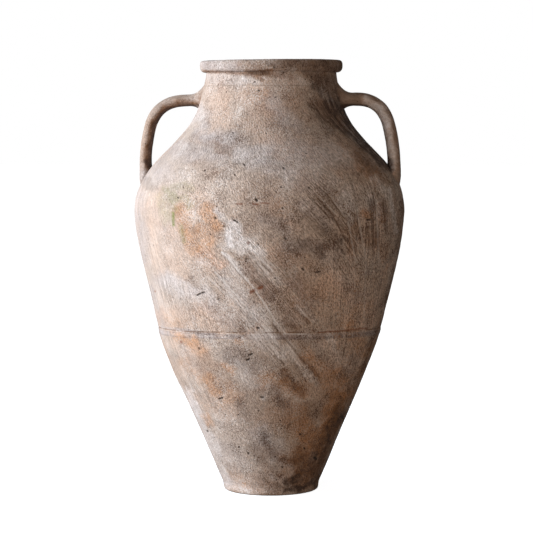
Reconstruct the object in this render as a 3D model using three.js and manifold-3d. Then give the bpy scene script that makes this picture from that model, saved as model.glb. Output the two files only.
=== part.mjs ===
// Two-handled pottery storage jar, modelled as the potter builds it: a beaten base slab, three thrown wall
// storeys lapped one on the next, a collar, a folded rim, and two pulled strap handles on luted clay pads.
// Millimetres, +Z up. The origin is the centre of the resting face, and the handles stand along X.
import * as THREE from 'three';
import { mergeVertices } from 'three/addons/utils/BufferGeometryUtils.js';
import Module from 'manifold-3d';

const wasm = await Module();
wasm.setup();

// Heights, stacked up from the resting face
const baseThickness = 12;
const lowerRise = 236; // base slab to belt joint
const bellyRise = 184; // belt joint to widest girth
const shoulderRise = 83; // girth to the steepest part of the shoulder
const throatRise = 50; // steepest part to the throat, where the shoulder hollows
const collarRise = 54; // throat to collar joint
const neckRise = 23.5; // collar joint to the underside of the rim
const rimHeight = 17.5;

// Outside radii at those heights
const footRadius = 73.6;
const beltRadius = 171.6;
const girthRadius = 207.5;
const shoulderRadius = 168.7;
const throatRadius = 123.7;
const neckRadius = 99.8;
const collarSpread = 4.2; // the collar joint is this much wider than the neck
const rimOverhang = 9.6; // the rim stands out from the neck by this much

// Lean of the wall at those heights, as radius gained for each millimetre climbed
const footLean = 0.44;
const lowerLean = 0.36; // just under the belt, where the wall has its knee
const beltLean = 0.22; // just over the belt
const shoulderLean = -1;
const throatLean = -0.68;
const collarLean = -0.2;

// Walls and their luted joints
const wallThickness = 13;
const neckThickness = 12;
const slipGap = 0.35; // film of slip between two pieces
const scarfRise = 10; // height of a lap joint, higher on the inside
const girthJointRise = 22; // second wall joint above the girth
const footRound = 3; // broken edge under the base
const slabStep = 3; // raised disc that the lower wall locates on
const beltBand = 8; // height of the luting coil that shows as the belt
const beltDepth = 5; // how far that coil is pressed into the joint
const beltProud = 0.6;
const stringLineGap = 4; // scored line above the belt band
const stringLineWidth = 2.4;
const stringLineDepth = 1;
const baseCoilLeg = 14; // fillet coil in the corner over the base slab
const innerCoilHeight = 24; // coil smoothed over the belt joint inside
const innerCoilThickness = 4;
const collarProud = 0.8; // the collar's edge laps over the shoulder

// Rim
const rimOuterRound = 3;
const rimUnderRound = 5;
const rimInnerRound = 4;
const spigotRise = 7; // tongue of the neck inside the rim
const spigotThickness = 6;

// Handles
const strapThickness = 19; // seen from the front
const strapWidth = 29; // along the wall
const strapSquareness = 2.5; // 2 is an ellipse, more is squarer
const armDrop = 17.5; // strap centre below the collar joint
const armLength = 23; // level stretch beyond the wall
const elbowDrop = 44; // arm down to the leg
const lowerRootRise = 55; // height above the girth where the leg enters the wall
const legLean = 6; // the leg spreads by this much on its way down
const elbowReach = 16; // how far inside the lower root the elbow's corner lies
const upperPadLength = 17;
const upperPadFlare = 8;
const lowerPadLength = 25;
const lowerPadFlare = 7;
const rootDepth = 10; // how far the scored roots run into the wall's line before they are cut to it

// Fineness
const facets = 48;
const strapSides = 14;
const stepsPerRise = { lower: 4, belly: 6, shoulder: 6, throat: 4, collar: 4 };

const fired = {
  buff: new THREE.MeshStandardMaterial({ color: 0xb09a86, roughness: 0.93, metalness: 0 }),
  lower: new THREE.MeshStandardMaterial({ color: 0xa38b76, roughness: 0.94, metalness: 0 }),
  rim: new THREE.MeshStandardMaterial({ color: 0x9f9082, roughness: 0.92, metalness: 0 }),
  handle: new THREE.MeshStandardMaterial({ color: 0x97826f, roughness: 0.9, metalness: 0 }),
  slip: new THREE.MeshStandardMaterial({ color: 0x85796f, roughness: 0.96, metalness: 0 }),
  inside: new THREE.MeshStandardMaterial({ color: 0x8f6a54, roughness: 0.95, metalness: 0 }),
};

const beltHeight = baseThickness + lowerRise;
const girthHeight = beltHeight + bellyRise;
const girthJointHeight = girthHeight + girthJointRise;
const shoulderHeight = girthHeight + shoulderRise;
const throatHeight = shoulderHeight + throatRise;
const collarHeight = throatHeight + collarRise;
const rimSeatHeight = collarHeight + neckRise;
const jarHeight = rimSeatHeight + rimHeight;
const collarRadius = neckRadius + collarSpread;
const rimRadius = neckRadius + rimOverhang;
const mouthRadius = neckRadius - neckThickness;

// The outside wall, from one station to the next: lean is what the wall leaves the lower one with.
const stretches = [
  { low: baseThickness, high: beltHeight, from: footRadius, to: beltRadius,
    lean: footLean, endLean: lowerLean, steps: stepsPerRise.lower },
  { low: beltHeight, high: girthHeight, from: beltRadius, to: girthRadius,
    lean: beltLean, endLean: 0, steps: stepsPerRise.belly },
  { low: girthHeight, high: shoulderHeight, from: girthRadius, to: shoulderRadius,
    lean: 0, endLean: shoulderLean, steps: stepsPerRise.shoulder },
  { low: shoulderHeight, high: throatHeight, from: shoulderRadius, to: throatRadius,
    lean: shoulderLean, endLean: throatLean, steps: stepsPerRise.throat },
  { low: throatHeight, high: collarHeight, from: throatRadius, to: collarRadius,
    lean: throatLean, endLean: collarLean, steps: stepsPerRise.collar },
  { low: collarHeight, high: rimSeatHeight, from: collarRadius, to: neckRadius,
    lean: collarLean, endLean: 0, steps: 2 },
];

// Heights where the faceted wall has a ring of corners. Every piece that meets the wall uses the same ones.
const wallLevels = stretches.flatMap(({ low, high, steps }) =>
  Array.from({ length: steps }, (_, i) => low + ((high - low) * i) / steps));

function stretchAt(height) {
  return stretches.find((s) => height < s.high) ?? stretches.at(-1);
}

// A smooth curve between stations, with its lean at both ends given.
function outerRadius(height) {
  const { low, high, from, to, lean, endLean } = stretchAt(height);
  const rise = high - low;
  const t = (height - low) / rise;
  return from * (1 + 2 * t) * (1 - t) ** 2 + to * t * t * (3 - 2 * t)
    + rise * (lean * t * (1 - t) ** 2 - endLean * t * t * (1 - t));
}

function leanAt(height) {
  const { low, high, from, to, lean, endLean } = stretchAt(height);
  const rise = high - low;
  const t = (height - low) / rise;
  return ((to - from) / rise) * 6 * t * (1 - t) + lean * (1 - t) * (1 - 3 * t) + endLean * t * (3 * t - 2);
}

// The wall is as thick square to its face as its thickness says, so it is thicker across where it leans.
function innerRadius(height, thickness = wallThickness) {
  return outerRadius(height) - thickness * Math.hypot(1, leanAt(height));
}

function outside(height, proud = 0) {
  return new THREE.Vector2(outerRadius(height) + proud, height);
}

function inside(height, proud = 0) {
  return new THREE.Vector2(innerRadius(height) - proud, height);
}

// Wall points from one height to another along one face, with the levels between them.
function facePoints(face, low, high) {
  const between = wallLevels.filter((level) => level > low + 1 && level < high - 1);
  return [low, ...between, high].map((height) => face(height));
}

// A ring turned from a closed profile that runs up its outside and down its inside.
function ring(profile) {
  return new THREE.LatheGeometry([...profile, profile[0]], facets).rotateX(Math.PI / 2);
}

// A solid turned from a profile that starts and ends on the axis.
function turned(profile) {
  return new THREE.LatheGeometry(profile, facets).rotateX(Math.PI / 2);
}

function arc(x, y, radius, fromDegrees, toDegrees) {
  const start = THREE.MathUtils.degToRad(fromDegrees);
  const end = THREE.MathUtils.degToRad(toDegrees);
  const divisions = 3;
  return new THREE.EllipseCurve(x, y, radius, radius, start, end).getPoints(divisions);
}

// Base slab: a flat disc with a broken lower edge and a step that centres the wall standing on it
function baseSlab() {
  const stepRadius = innerRadius(baseThickness) - slipGap;
  return turned([
    new THREE.Vector2(0, 0),
    new THREE.Vector2(footRadius - footRound, 0),
    new THREE.Vector2(footRadius, footRound),
    new THREE.Vector2(footRadius, baseThickness),
    new THREE.Vector2(stepRadius, baseThickness),
    new THREE.Vector2(stepRadius, baseThickness + slabStep),
    new THREE.Vector2(0, baseThickness + slabStep),
  ]);
}

// Coil worked into the corner between the slab and the wall
function baseInnerCoil() {
  const seat = baseThickness + slabStep + slipGap;
  const corner = inside(seat, 2 * slipGap);
  return ring([
    corner,
    inside(seat + baseCoilLeg, 2 * slipGap),
    new THREE.Vector2(corner.x - baseCoilLeg, seat),
  ]);
}

// The belt joint: a groove outside for the luting coil, then a lap rising to the inside
const beltLow = beltHeight - beltBand / 2;
const beltHigh = beltHeight + beltBand / 2;
const grooveRadius = outerRadius(beltHeight) - beltDepth;
const lapTop = beltHeight + scarfRise;

function lowerWall() {
  const bottom = baseThickness + slipGap;
  return ring([
    ...facePoints(outside, bottom, beltLow),
    new THREE.Vector2(grooveRadius, beltHeight - slipGap / 2),
    ...facePoints(inside, bottom, lapTop - slipGap).reverse(),
  ]);
}

function beltLutingCoil() {
  const shrink = 1.3 * slipGap;
  return ring([
    outside(beltLow + shrink, beltProud),
    outside(beltHeight, 2 * beltProud),
    outside(beltHigh - shrink, beltProud),
    new THREE.Vector2(grooveRadius + 2 * slipGap, beltHeight),
  ]);
}

function beltInnerCoil() {
  const low = lapTop - innerCoilHeight / 2;
  const high = lapTop + innerCoilHeight / 2;
  const clear = 2 * slipGap;
  return ring([
    inside(low, clear),
    inside(lapTop, clear),
    inside(high, clear),
    inside(lapTop + innerCoilHeight / 6, clear + innerCoilThickness),
    inside(lapTop - innerCoilHeight / 6, clear + innerCoilThickness),
  ]);
}

// Belly wall, with the scored line that runs round it over the belt
function bellyWall() {
  const lineLow = beltHigh + stringLineGap;
  const lineHigh = lineLow + stringLineWidth;
  return ring([
    outside(beltHigh),
    outside(lineLow),
    outside((lineLow + lineHigh) / 2, -stringLineDepth),
    ...facePoints(outside, lineHigh, girthJointHeight),
    ...facePoints(inside, lapTop + slipGap, girthJointHeight + scarfRise).reverse(),
    new THREE.Vector2(grooveRadius, beltHeight + slipGap / 2),
  ]);
}

function shoulderWall() {
  const bottom = girthJointHeight + slipGap * Math.hypot(1, scarfRise / wallThickness);
  return ring([
    ...facePoints(outside, bottom, collarHeight),
    ...facePoints(inside, bottom + scarfRise, collarHeight + scarfRise).reverse(),
  ]);
}

// Collar: its lower edge laps the shoulder and shows as a line, and its top is a tongue for the rim
function neckCollar() {
  const bottom = collarHeight + slipGap * Math.hypot(1, scarfRise / neckThickness);
  const spigotRadius = mouthRadius + spigotThickness;
  const lipHeight = neckRise / 5;
  return ring([
    outside(bottom, collarProud),
    outside(bottom + lipHeight, collarProud),
    outside(bottom + 2 * lipHeight),
    new THREE.Vector2(neckRadius, rimSeatHeight),
    new THREE.Vector2(spigotRadius, rimSeatHeight),
    new THREE.Vector2(spigotRadius, rimSeatHeight + spigotRise),
    new THREE.Vector2(mouthRadius, rimSeatHeight + spigotRise),
    inside(bottom + scarfRise),
  ]);
}

// Rim: a band folded outward over the neck, with a flat top
function rimBand() {
  const seat = rimSeatHeight + slipGap;
  const pocketRadius = mouthRadius + spigotThickness + slipGap;
  return ring([
    new THREE.Vector2(pocketRadius, seat),
    ...arc(rimRadius - rimUnderRound, seat + rimUnderRound, rimUnderRound, -90, 0),
    ...arc(rimRadius - rimOuterRound, jarHeight - rimOuterRound, rimOuterRound, 0, 90),
    ...arc(mouthRadius + rimInnerRound, jarHeight - rimInnerRound, rimInnerRound, 90, 180),
    new THREE.Vector2(mouthRadius, seat + spigotRise),
    new THREE.Vector2(pocketRadius, seat + spigotRise),
  ]);
}

// Handle centre line, in the XZ plane: level out of the wall, round the elbow, down the leg and into the wall
const armHeight = collarHeight - armDrop;
const lowerRootHeight = girthHeight + lowerRootRise;
const upperRoot = new THREE.Vector3(outerRadius(armHeight), 0, armHeight);
const lowerRoot = new THREE.Vector3(outerRadius(lowerRootHeight), 0, lowerRootHeight);
const armEnd = upperRoot.clone().setX(upperRoot.x + armLength);
const legTop = new THREE.Vector3(lowerRoot.x - legLean, 0, armHeight - elbowDrop);
const elbowCorner = new THREE.Vector3(lowerRoot.x - elbowReach, 0, armHeight + legLean / 6);

const centreLine = new THREE.CurvePath();
centreLine.add(new THREE.LineCurve3(upperRoot.clone().setX(upperRoot.x - rootDepth), armEnd));
centreLine.add(new THREE.QuadraticBezierCurve3(armEnd, elbowCorner, legTop));
const legDirection = legTop.clone().sub(elbowCorner).normalize();
const legBend = legTop.clone().addScaledVector(legDirection, (legTop.z - lowerRoot.z) * 0.6);
centreLine.add(new THREE.QuadraticBezierCurve3(legTop, legBend, lowerRoot));
const rootBend = lowerRoot.clone().add(new THREE.Vector3(0, 0, -strapThickness * 0.7));
const rootEnd = lowerRoot.clone().add(new THREE.Vector3(-strapThickness * 1.5, 0, -strapThickness * 1.6));
centreLine.add(new THREE.QuadraticBezierCurve3(lowerRoot, rootBend, rootEnd));

const pathLengths = centreLine.getCurveLengths();
const pathLength = pathLengths.at(-1);
const upperWallAt = rootDepth; // path length where the arm leaves the wall
const lowerWallAt = pathLengths.at(-2); // path length where the leg enters it
const upperSeamAt = upperWallAt + upperPadLength;
const lowerSeamAt = lowerWallAt - lowerPadLength;

// One cross-section of the strap: a squared oval, wider along the wall than it is thick
function strapRing(distance, growThickness, growWidth) {
  const share = distance / pathLength;
  const centre = centreLine.getPointAt(share);
  const along = centreLine.getTangentAt(share);
  const across = new THREE.Vector3(along.z, 0, -along.x);
  const power = 2 / strapSquareness;
  return Array.from({ length: strapSides }, (_, side) => {
    const angle = (2 * Math.PI * side) / strapSides;
    const squared = (value) => Math.sign(value) * Math.abs(value) ** power;
    const thick = squared(Math.cos(angle)) * (strapThickness / 2 + growThickness);
    const wide = squared(Math.sin(angle)) * (strapWidth / 2 + growWidth);
    return centre.clone().addScaledVector(across, thick).add(new THREE.Vector3(0, wide, 0));
  });
}

// A closed skin over rings of equal point counts, with a fan over each end
function loft(rings) {
  const sides = rings[0].length;
  const corners = rings.flat();
  const middle = (ringPoints) => ringPoints
    .reduce((sum, point) => sum.add(point), new THREE.Vector3()).divideScalar(sides);
  const firstCap = corners.length;
  const lastCap = firstCap + 1;
  corners.push(middle(rings[0]), middle(rings.at(-1)));
  const faces = [];
  const lastRing = (rings.length - 1) * sides;
  for (let side = 0; side < sides; side += 1) {
    const next = (side + 1) % sides;
    for (let row = 0; row < lastRing; row += sides) {
      faces.push(row + side, row + next, row + sides + side);
      faces.push(row + next, row + sides + next, row + sides + side);
    }
    faces.push(firstCap, next, side);
    faces.push(lastCap, lastRing + side, lastRing + next);
  }
  const geometry = new THREE.BufferGeometry().setFromPoints(corners);
  return geometry.setIndex(faces);
}

// Rings between two places on the path, swelling towards a root by a rounded fillet
function strapStretch(from, to, steps, flareAt = () => 0, widthShare = 1) {
  return loft(Array.from({ length: steps + 1 }, (_, step) => {
    const distance = from + ((to - from) * step) / steps;
    const flare = flareAt(distance);
    return strapRing(distance, flare, flare * widthShare);
  }));
}

// A fillet that starts at the seam with the strap and is widest where the pad meets the wall
function fillet(seam, wall, flare) {
  return (distance) => {
    const share = Math.min(Math.max((distance - seam) / (wall - seam), 0), 1.3);
    return flare * share ** 2.2;
  };
}

function asSolid(geometry) {
  const bare = new THREE.BufferGeometry().setAttribute('position', geometry.getAttribute('position').clone());
  bare.setIndex(geometry.getIndex());
  const merged = mergeVertices(bare, 1e-3);
  const corners = merged.getIndex().array;
  const faces = [];
  for (let i = 0; i < corners.length; i += 3) {
    const [a, b, c] = corners.subarray(i, i + 3);
    if (a !== b && b !== c && c !== a) faces.push(a, b, c);
  }
  return new wasm.Manifold(new wasm.Mesh({
    numProp: 3,
    vertProperties: new Float32Array(merged.getAttribute('position').array),
    triVerts: new Uint32Array(faces),
  }));
}

function asGeometry(solid) {
  const mesh = solid.getMesh();
  const geometry = new THREE.BufferGeometry();
  geometry.setAttribute('position', new THREE.BufferAttribute(mesh.vertProperties, 3));
  return geometry.setIndex(new THREE.BufferAttribute(mesh.triVerts, 1));
}

// The filled outline of the jar above the belt, a film of slip larger than the walls, which the pads are cut to
function wallEnvelope() {
  const clear = 1.5 * slipGap;
  const grown = (height) => outside(height, clear * Math.hypot(1, leanAt(height)));
  const collarEdge = (height) => outside(height, clear + collarProud);
  const lipHeight = collarHeight - clear;
  return turned([
    new THREE.Vector2(0, beltHeight),
    ...facePoints(grown, beltHeight, lipHeight),
    collarEdge(lipHeight),
    collarEdge(rimSeatHeight),
    new THREE.Vector2(0, rimSeatHeight),
  ]);
}

const envelope = asSolid(wallEnvelope());

function handleStrap() {
  const steps = 20;
  return strapStretch(upperSeamAt + slipGap, lowerSeamAt - slipGap, steps);
}

function upperPad() {
  const steps = 8;
  const flare = fillet(upperSeamAt, upperWallAt, upperPadFlare);
  const pad = strapStretch(0, upperSeamAt, steps, flare, 0.6);
  return asGeometry(asSolid(pad).subtract(envelope));
}

function lowerPad() {
  const steps = 12;
  const flareInThickness = 0.2;
  const flare = fillet(lowerSeamAt, lowerWallAt, lowerPadFlare);
  const grown = Array.from({ length: steps + 1 }, (_, step) => {
    const distance = lowerSeamAt + ((pathLength - lowerSeamAt) * step) / steps;
    return strapRing(distance, flareInThickness * flare(distance), flare(distance));
  });
  return asGeometry(asSolid(loft(grown)).subtract(envelope));
}

function piece(name, geometry, material) {
  const mesh = new THREE.Mesh(geometry, material);
  mesh.name = name;
  return mesh;
}

const jar = new THREE.Group();
jar.add(
  piece('base_slab', baseSlab(), fired.lower),
  piece('base_inner_coil', baseInnerCoil(), fired.inside),
  piece('lower_wall', lowerWall(), fired.lower),
  piece('belt_luting_coil', beltLutingCoil(), fired.slip),
  piece('belt_inner_coil', beltInnerCoil(), fired.inside),
  piece('belly_wall', bellyWall(), fired.buff),
  piece('shoulder_wall', shoulderWall(), fired.buff),
  piece('neck_collar', neckCollar(), fired.buff),
  piece('rim_band', rimBand(), fired.rim),
);

for (const [side, turn] of [['right', 0], ['left', Math.PI]]) {
  const handle = new THREE.Group();
  handle.rotation.z = turn;
  handle.add(
    piece(`${side}_handle_strap`, handleStrap(), fired.handle),
    piece(`${side}_handle_upper_pad`, upperPad(), fired.handle),
    piece(`${side}_handle_lower_pad`, lowerPad(), fired.handle),
  );
  jar.add(handle);
}

export default jar;
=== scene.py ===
"""A weathered two-handled pottery jar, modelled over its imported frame, with its clay, floor, light and camera."""

import itertools
import math

import bmesh
import bpy
import numpy as np
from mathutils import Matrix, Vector


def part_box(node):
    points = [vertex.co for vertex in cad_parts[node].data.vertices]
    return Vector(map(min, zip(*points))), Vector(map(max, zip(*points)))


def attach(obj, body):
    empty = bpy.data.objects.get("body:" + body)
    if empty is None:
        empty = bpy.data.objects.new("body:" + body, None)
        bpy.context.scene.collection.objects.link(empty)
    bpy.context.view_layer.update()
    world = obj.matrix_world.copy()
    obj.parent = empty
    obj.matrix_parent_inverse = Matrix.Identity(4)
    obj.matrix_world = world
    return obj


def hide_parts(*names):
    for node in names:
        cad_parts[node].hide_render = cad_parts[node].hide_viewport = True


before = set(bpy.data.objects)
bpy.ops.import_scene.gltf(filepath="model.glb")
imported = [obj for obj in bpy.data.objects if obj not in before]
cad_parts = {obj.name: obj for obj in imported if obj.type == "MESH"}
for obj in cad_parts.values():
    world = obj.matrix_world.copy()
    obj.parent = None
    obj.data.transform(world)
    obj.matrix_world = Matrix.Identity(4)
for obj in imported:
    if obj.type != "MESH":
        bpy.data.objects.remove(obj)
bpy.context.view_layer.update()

MM = 0.001

# The photograph's camera, in pixels of its own frame
PHOTO_SIDE = 533
FOCAL_PIXELS = 2150.0
HORIZON_PIXEL = 112.0
AXIS_PIXEL = 270.2
SENSOR_WIDTH = 36.0
CAMERA_AZIMUTH = math.radians(7)
CAMERA_DISTANCE = 3.308
CAMERA_HEIGHT = 0.5825
IMAGE_CENTRE = PHOTO_SIDE / 2
CAMERA_TILT = math.atan((IMAGE_CENTRE - HORIZON_PIXEL) / FOCAL_PIXELS)
TO_CAMERA = Vector((math.sin(CAMERA_AZIMUTH), -math.cos(CAMERA_AZIMUTH), 0))
TO_RIGHT = Vector((math.cos(CAMERA_AZIMUTH), math.sin(CAMERA_AZIMUTH), 0))
UP = Vector((0, 0, 1))

# Heights where the storeys are luted together
BASE_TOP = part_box("lower_wall")[0].z
BELT_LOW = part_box("belt_luting_coil")[0].z
BELT_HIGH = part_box("belt_luting_coil")[1].z
GIRTH_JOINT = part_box("shoulder_wall")[0].z
COLLAR_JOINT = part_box("neck_collar")[0].z
RIM_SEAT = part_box("rim_band")[0].z
JAR_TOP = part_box("rim_band")[1].z
BELT_MIDDLE = (BELT_LOW + BELT_HIGH) / 2
SCORED_LINE = BELT_HIGH + 2.6 * MM
NECK_LINE = 622 * MM
WRAP_RADIUS = 170 * MM

# The belt isn't level: it rises towards the camera, and bows
BELT_TILT = 4 * MM
BELT_BOW = 1.5 * MM
BELT_SWAY_REACH = 90 * MM

# Outside of the wall in millimetres: height, radius, lean below that height and lean above it
OUTLINE = (
    (12, 73.6, 0.44, 0.44),
    (248, 171.6, 0.36, 0.22),
    (432, 207.5, 0.0, 0.0),
    (515, 168.7, -1.0, -1.0),
    (565, 123.7, -0.68, -0.68),
    (619, 104.0, -0.2, -0.2),
    (642.5, 99.8, 0.0, 0.0),
)
WALL = 13 * MM
MOUTH_RADIUS = 87.8 * MM
RIM_RADIUS = 109.4 * MM
FOOT_EDGE = 69.6 * MM
WALL_LAP = 10 * MM
SLAB_STEP = 3 * MM
COIL_GAP = 0.7 * MM
COIL_THICKNESS = 4.2 * MM

# How finely the skin is worked: corners round it before it is smoothed, how often it is smoothed, the spacing of its
# rings, how many pixels beside a thin mark are worked finer, and how deep under the wall's face the stains and painted
# shade reach
CORNERS = 150
COIL_CORNERS = 96
SMOOTHING = 2
RING_SPACING = 7.8 * MM
CLOSE_SPACING = 3 * MM
FINE_REACH = 2.1
MARKED_DEPTH = 2.5 * MM


def outline_stretch(height):
    """The two outline stations that a height in millimetres lies between."""
    for low, high in zip(OUTLINE, OUTLINE[1:]):
        if height <= high[0]:
            return low, high
    return OUTLINE[-2], OUTLINE[-1]


def wall_radius(height):
    """Outside radius of the wall, in metres, at a height in metres."""
    height = height / MM
    (low, start, _, lean), (high, end, end_lean, _) = outline_stretch(height)
    rise = high - low
    t = (height - low) / rise
    radius = start * (1 + 2 * t) * (1 - t) ** 2 + end * t * t * (3 - 2 * t)
    radius += rise * (lean * t * (1 - t) ** 2 - end_lean * t * t * (1 - t))
    return radius * MM


def wall_lean(height):
    """Radius that the wall gains for each metre climbed, at a height in metres."""
    step = 0.5 * MM
    return (wall_radius(height + step) - wall_radius(height - step)) / (2 * step)


def inside_radius(height):
    """Inside radius of a wall that is equally thick square to its face."""
    return wall_radius(height) - WALL * math.hypot(1, wall_lean(height))


# Marks seen in the photograph, by pixel: strength, half width in pixels, then the path of the stroke

# Peach is the clay's own pinkish tan, where the bloom is worn off; on the right handle's front it carries painted light
PEACH = (
    (0.3, 24, (256, 92), (268, 128)), (0.35, 15, (218, 90), (224, 118)), (0.1, 20, (288, 92), (302, 118)),
    (0.3, 22, (270, 142), (312, 150)), (0.4, 16, (336, 148), (372, 168)), (0.45, 26, (192, 204), (206, 256)),
    (0.3, 18, (150, 200), (160, 262)), (0.3, 18, (164, 240), (178, 268)), (0.6, 32, (332, 288), (362, 318)),
    (0.45, 20, (298, 288), (318, 312)), (0.3, 14, (176, 314), (190, 328)), (0.35, 16, (196, 316), (222, 326)),
    (0.5, 15, (180, 340), (202, 352)), (0.6, 24, (332, 344), (352, 376)), (0.5, 18, (312, 386), (332, 400)),
    (0.4, 14, (256, 480), (284, 486)), (0.3, 22, (280, 410), (312, 440)), (0.4, 14, (232, 480), (252, 486)),
    (0.35, 18, (198, 398), (234, 408)), (0.35, 16, (262, 250), (300, 262)), (0.4, 12, (368, 214), (384, 262)),
    (0.3, 10, (278, 206), (296, 228)), (0.2, 12, (284, 76), (306, 82)),
)
# Ochre is iron stain, orange and rusty
OCHRE = (
    (0.6, 11, (206, 210), (214, 226)), (0.5, 11, (199, 228), (207, 242)), (0.5, 10, (190, 244), (206, 254)),
    (0.8, 7, (200, 250), (222, 264)), (0.45, 13, (180, 212), (190, 240)), (0.55, 5, (364, 213), (369, 217)),
    (0.6, 9, (181, 337), (196, 345)), (0.5, 7, (195, 343), (202, 351)), (0.75, 4, (236, 341.5), (241, 343)),
    (0.55, 6, (224, 364), (231, 371)), (0.6, 9, (204, 377), (217, 391)), (0.45, 6, (205, 415), (209, 423)),
    (0.35, 9, (226, 404), (238, 398)), (0.55, 4, (243, 485), (248, 487)), (0.3, 8, (276, 106), (284, 114)),
    (0.3, 9, (184, 360), (196, 372)), (0.2, 8, (362, 168), (376, 180)), (0.5, 7, (377, 206), (382, 219)),
    (0.3, 12, (262, 98), (272, 112)), (0.4, 6, (252, 330), (259, 326)), (0.35, 12, (160, 316), (174, 326)),
    (0.35, 10, (228, 388), (236, 396)), (0.6, 18, (300, 424), (314, 446)), (0.5, 16, (296, 456), (312, 472)),
    (0.55, 16, (266, 380), (298, 390)), (0.5, 14, (306, 356), (330, 378)), (0.45, 12, (282, 398), (298, 410)),
    (0.5, 14, (334, 376), (348, 392)), (0.45, 12, (352, 328), (362, 352)), (0.8, 14, (338, 396), (318, 448)),
    (0.5, 12, (286, 474), (306, 484)),
)
# Lime is whitish bloom; on the right handle's front it carries painted light
LIME = (
    (0.95, 14, (231, 238), (248, 243)), (0.9, 10, (234, 228), (240, 248)), (0.8, 10, (250, 242), (262, 254)),
    (0.45, 5, (216, 211), (223, 218), (231, 230)), (0.4, 9, (224, 282), (244, 306), (262, 330)),
    (0.45, 4, (225, 254), (240, 271)), (0.45, 7, (256, 257), (270, 272)), (0.25, 8, (262, 262), (280, 286)),
    (0.45, 5, (299, 307), (305, 314)), (0.4, 4, (307, 309), (314, 320)), (0.1, 10, (286, 306), (300, 322)),
    (0.6, 9, (267, 334), (284, 354)), (0.4, 8, (258, 324), (272, 342)), (0.45, 8, (288, 350), (302, 366)),
    (0.5, 5, (304, 370), (316, 382)), (0.5, 6, (329, 336), (335, 351)), (0.3, 10, (306, 338), (322, 348)),
    (0.5, 9, (342, 194), (353, 207)), (0.25, 9, (330, 178), (350, 188)), (0.45, 6, (374, 178), (388, 196)),
    (0.5, 4, (389, 190), (396, 232)), (0.4, 6, (340, 204), (350, 222)), (0.2, 12, (328, 258), (346, 276)),
    (0.15, 12, (350, 262), (372, 268)), (0.2, 14, (170, 282), (194, 292)), (0.1, 10, (176, 300), (186, 312)),
    (0.45, 14, (232, 286), (260, 316)), (0.4, 13, (258, 336), (280, 356)), (0.25, 14, (318, 346), (346, 362)),
    (0.3, 12, (204, 258), (240, 272)), (0.3, 8, (206, 288), (212, 304)), (0.3, 12, (168, 440), (186, 466)),
    (0.25, 10, (190, 440), (204, 458)), (0.35, 6, (293, 73), (303, 81)), (0.15, 8, (280, 76), (308, 84)),
    (0.3, 6, (320, 90), (331, 101)), (0.4, 5, (243, 77), (259, 82)), (0.1, 12, (214, 76), (240, 80)),
    (0.12, 9, (198, 112), (208, 130)), (0.18, 9, (205, 134), (232, 137)), (0.25, 12, (240, 155), (270, 148)),
    (0.35, 14, (262, 162), (292, 176)), (0.3, 12, (276, 104), (298, 126)), (0.25, 14, (300, 146), (330, 160)),
    (0.35, 12, (322, 146), (348, 158)), (0.25, 14, (290, 150), (318, 168)), (0.3, 9, (262, 430), (276, 442)),
    (0.3, 9, (240, 366), (254, 384)), (0.15, 8, (202, 424), (220, 466)), (0.3, 6, (222, 466), (230, 478)),
    (0.35, 7, (188, 390), (200, 416)), (0.3, 6, (228, 482), (246, 490)), (0.4, 4, (263, 398), (266, 398)),
    (0.35, 9, (274, 460), (290, 474)), (0.35, 8, (272, 476), (286, 482)), (0.35, 8, (344, 126), (360, 140)),
    (0.3, 10, (366, 190), (378, 214)),
)
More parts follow.
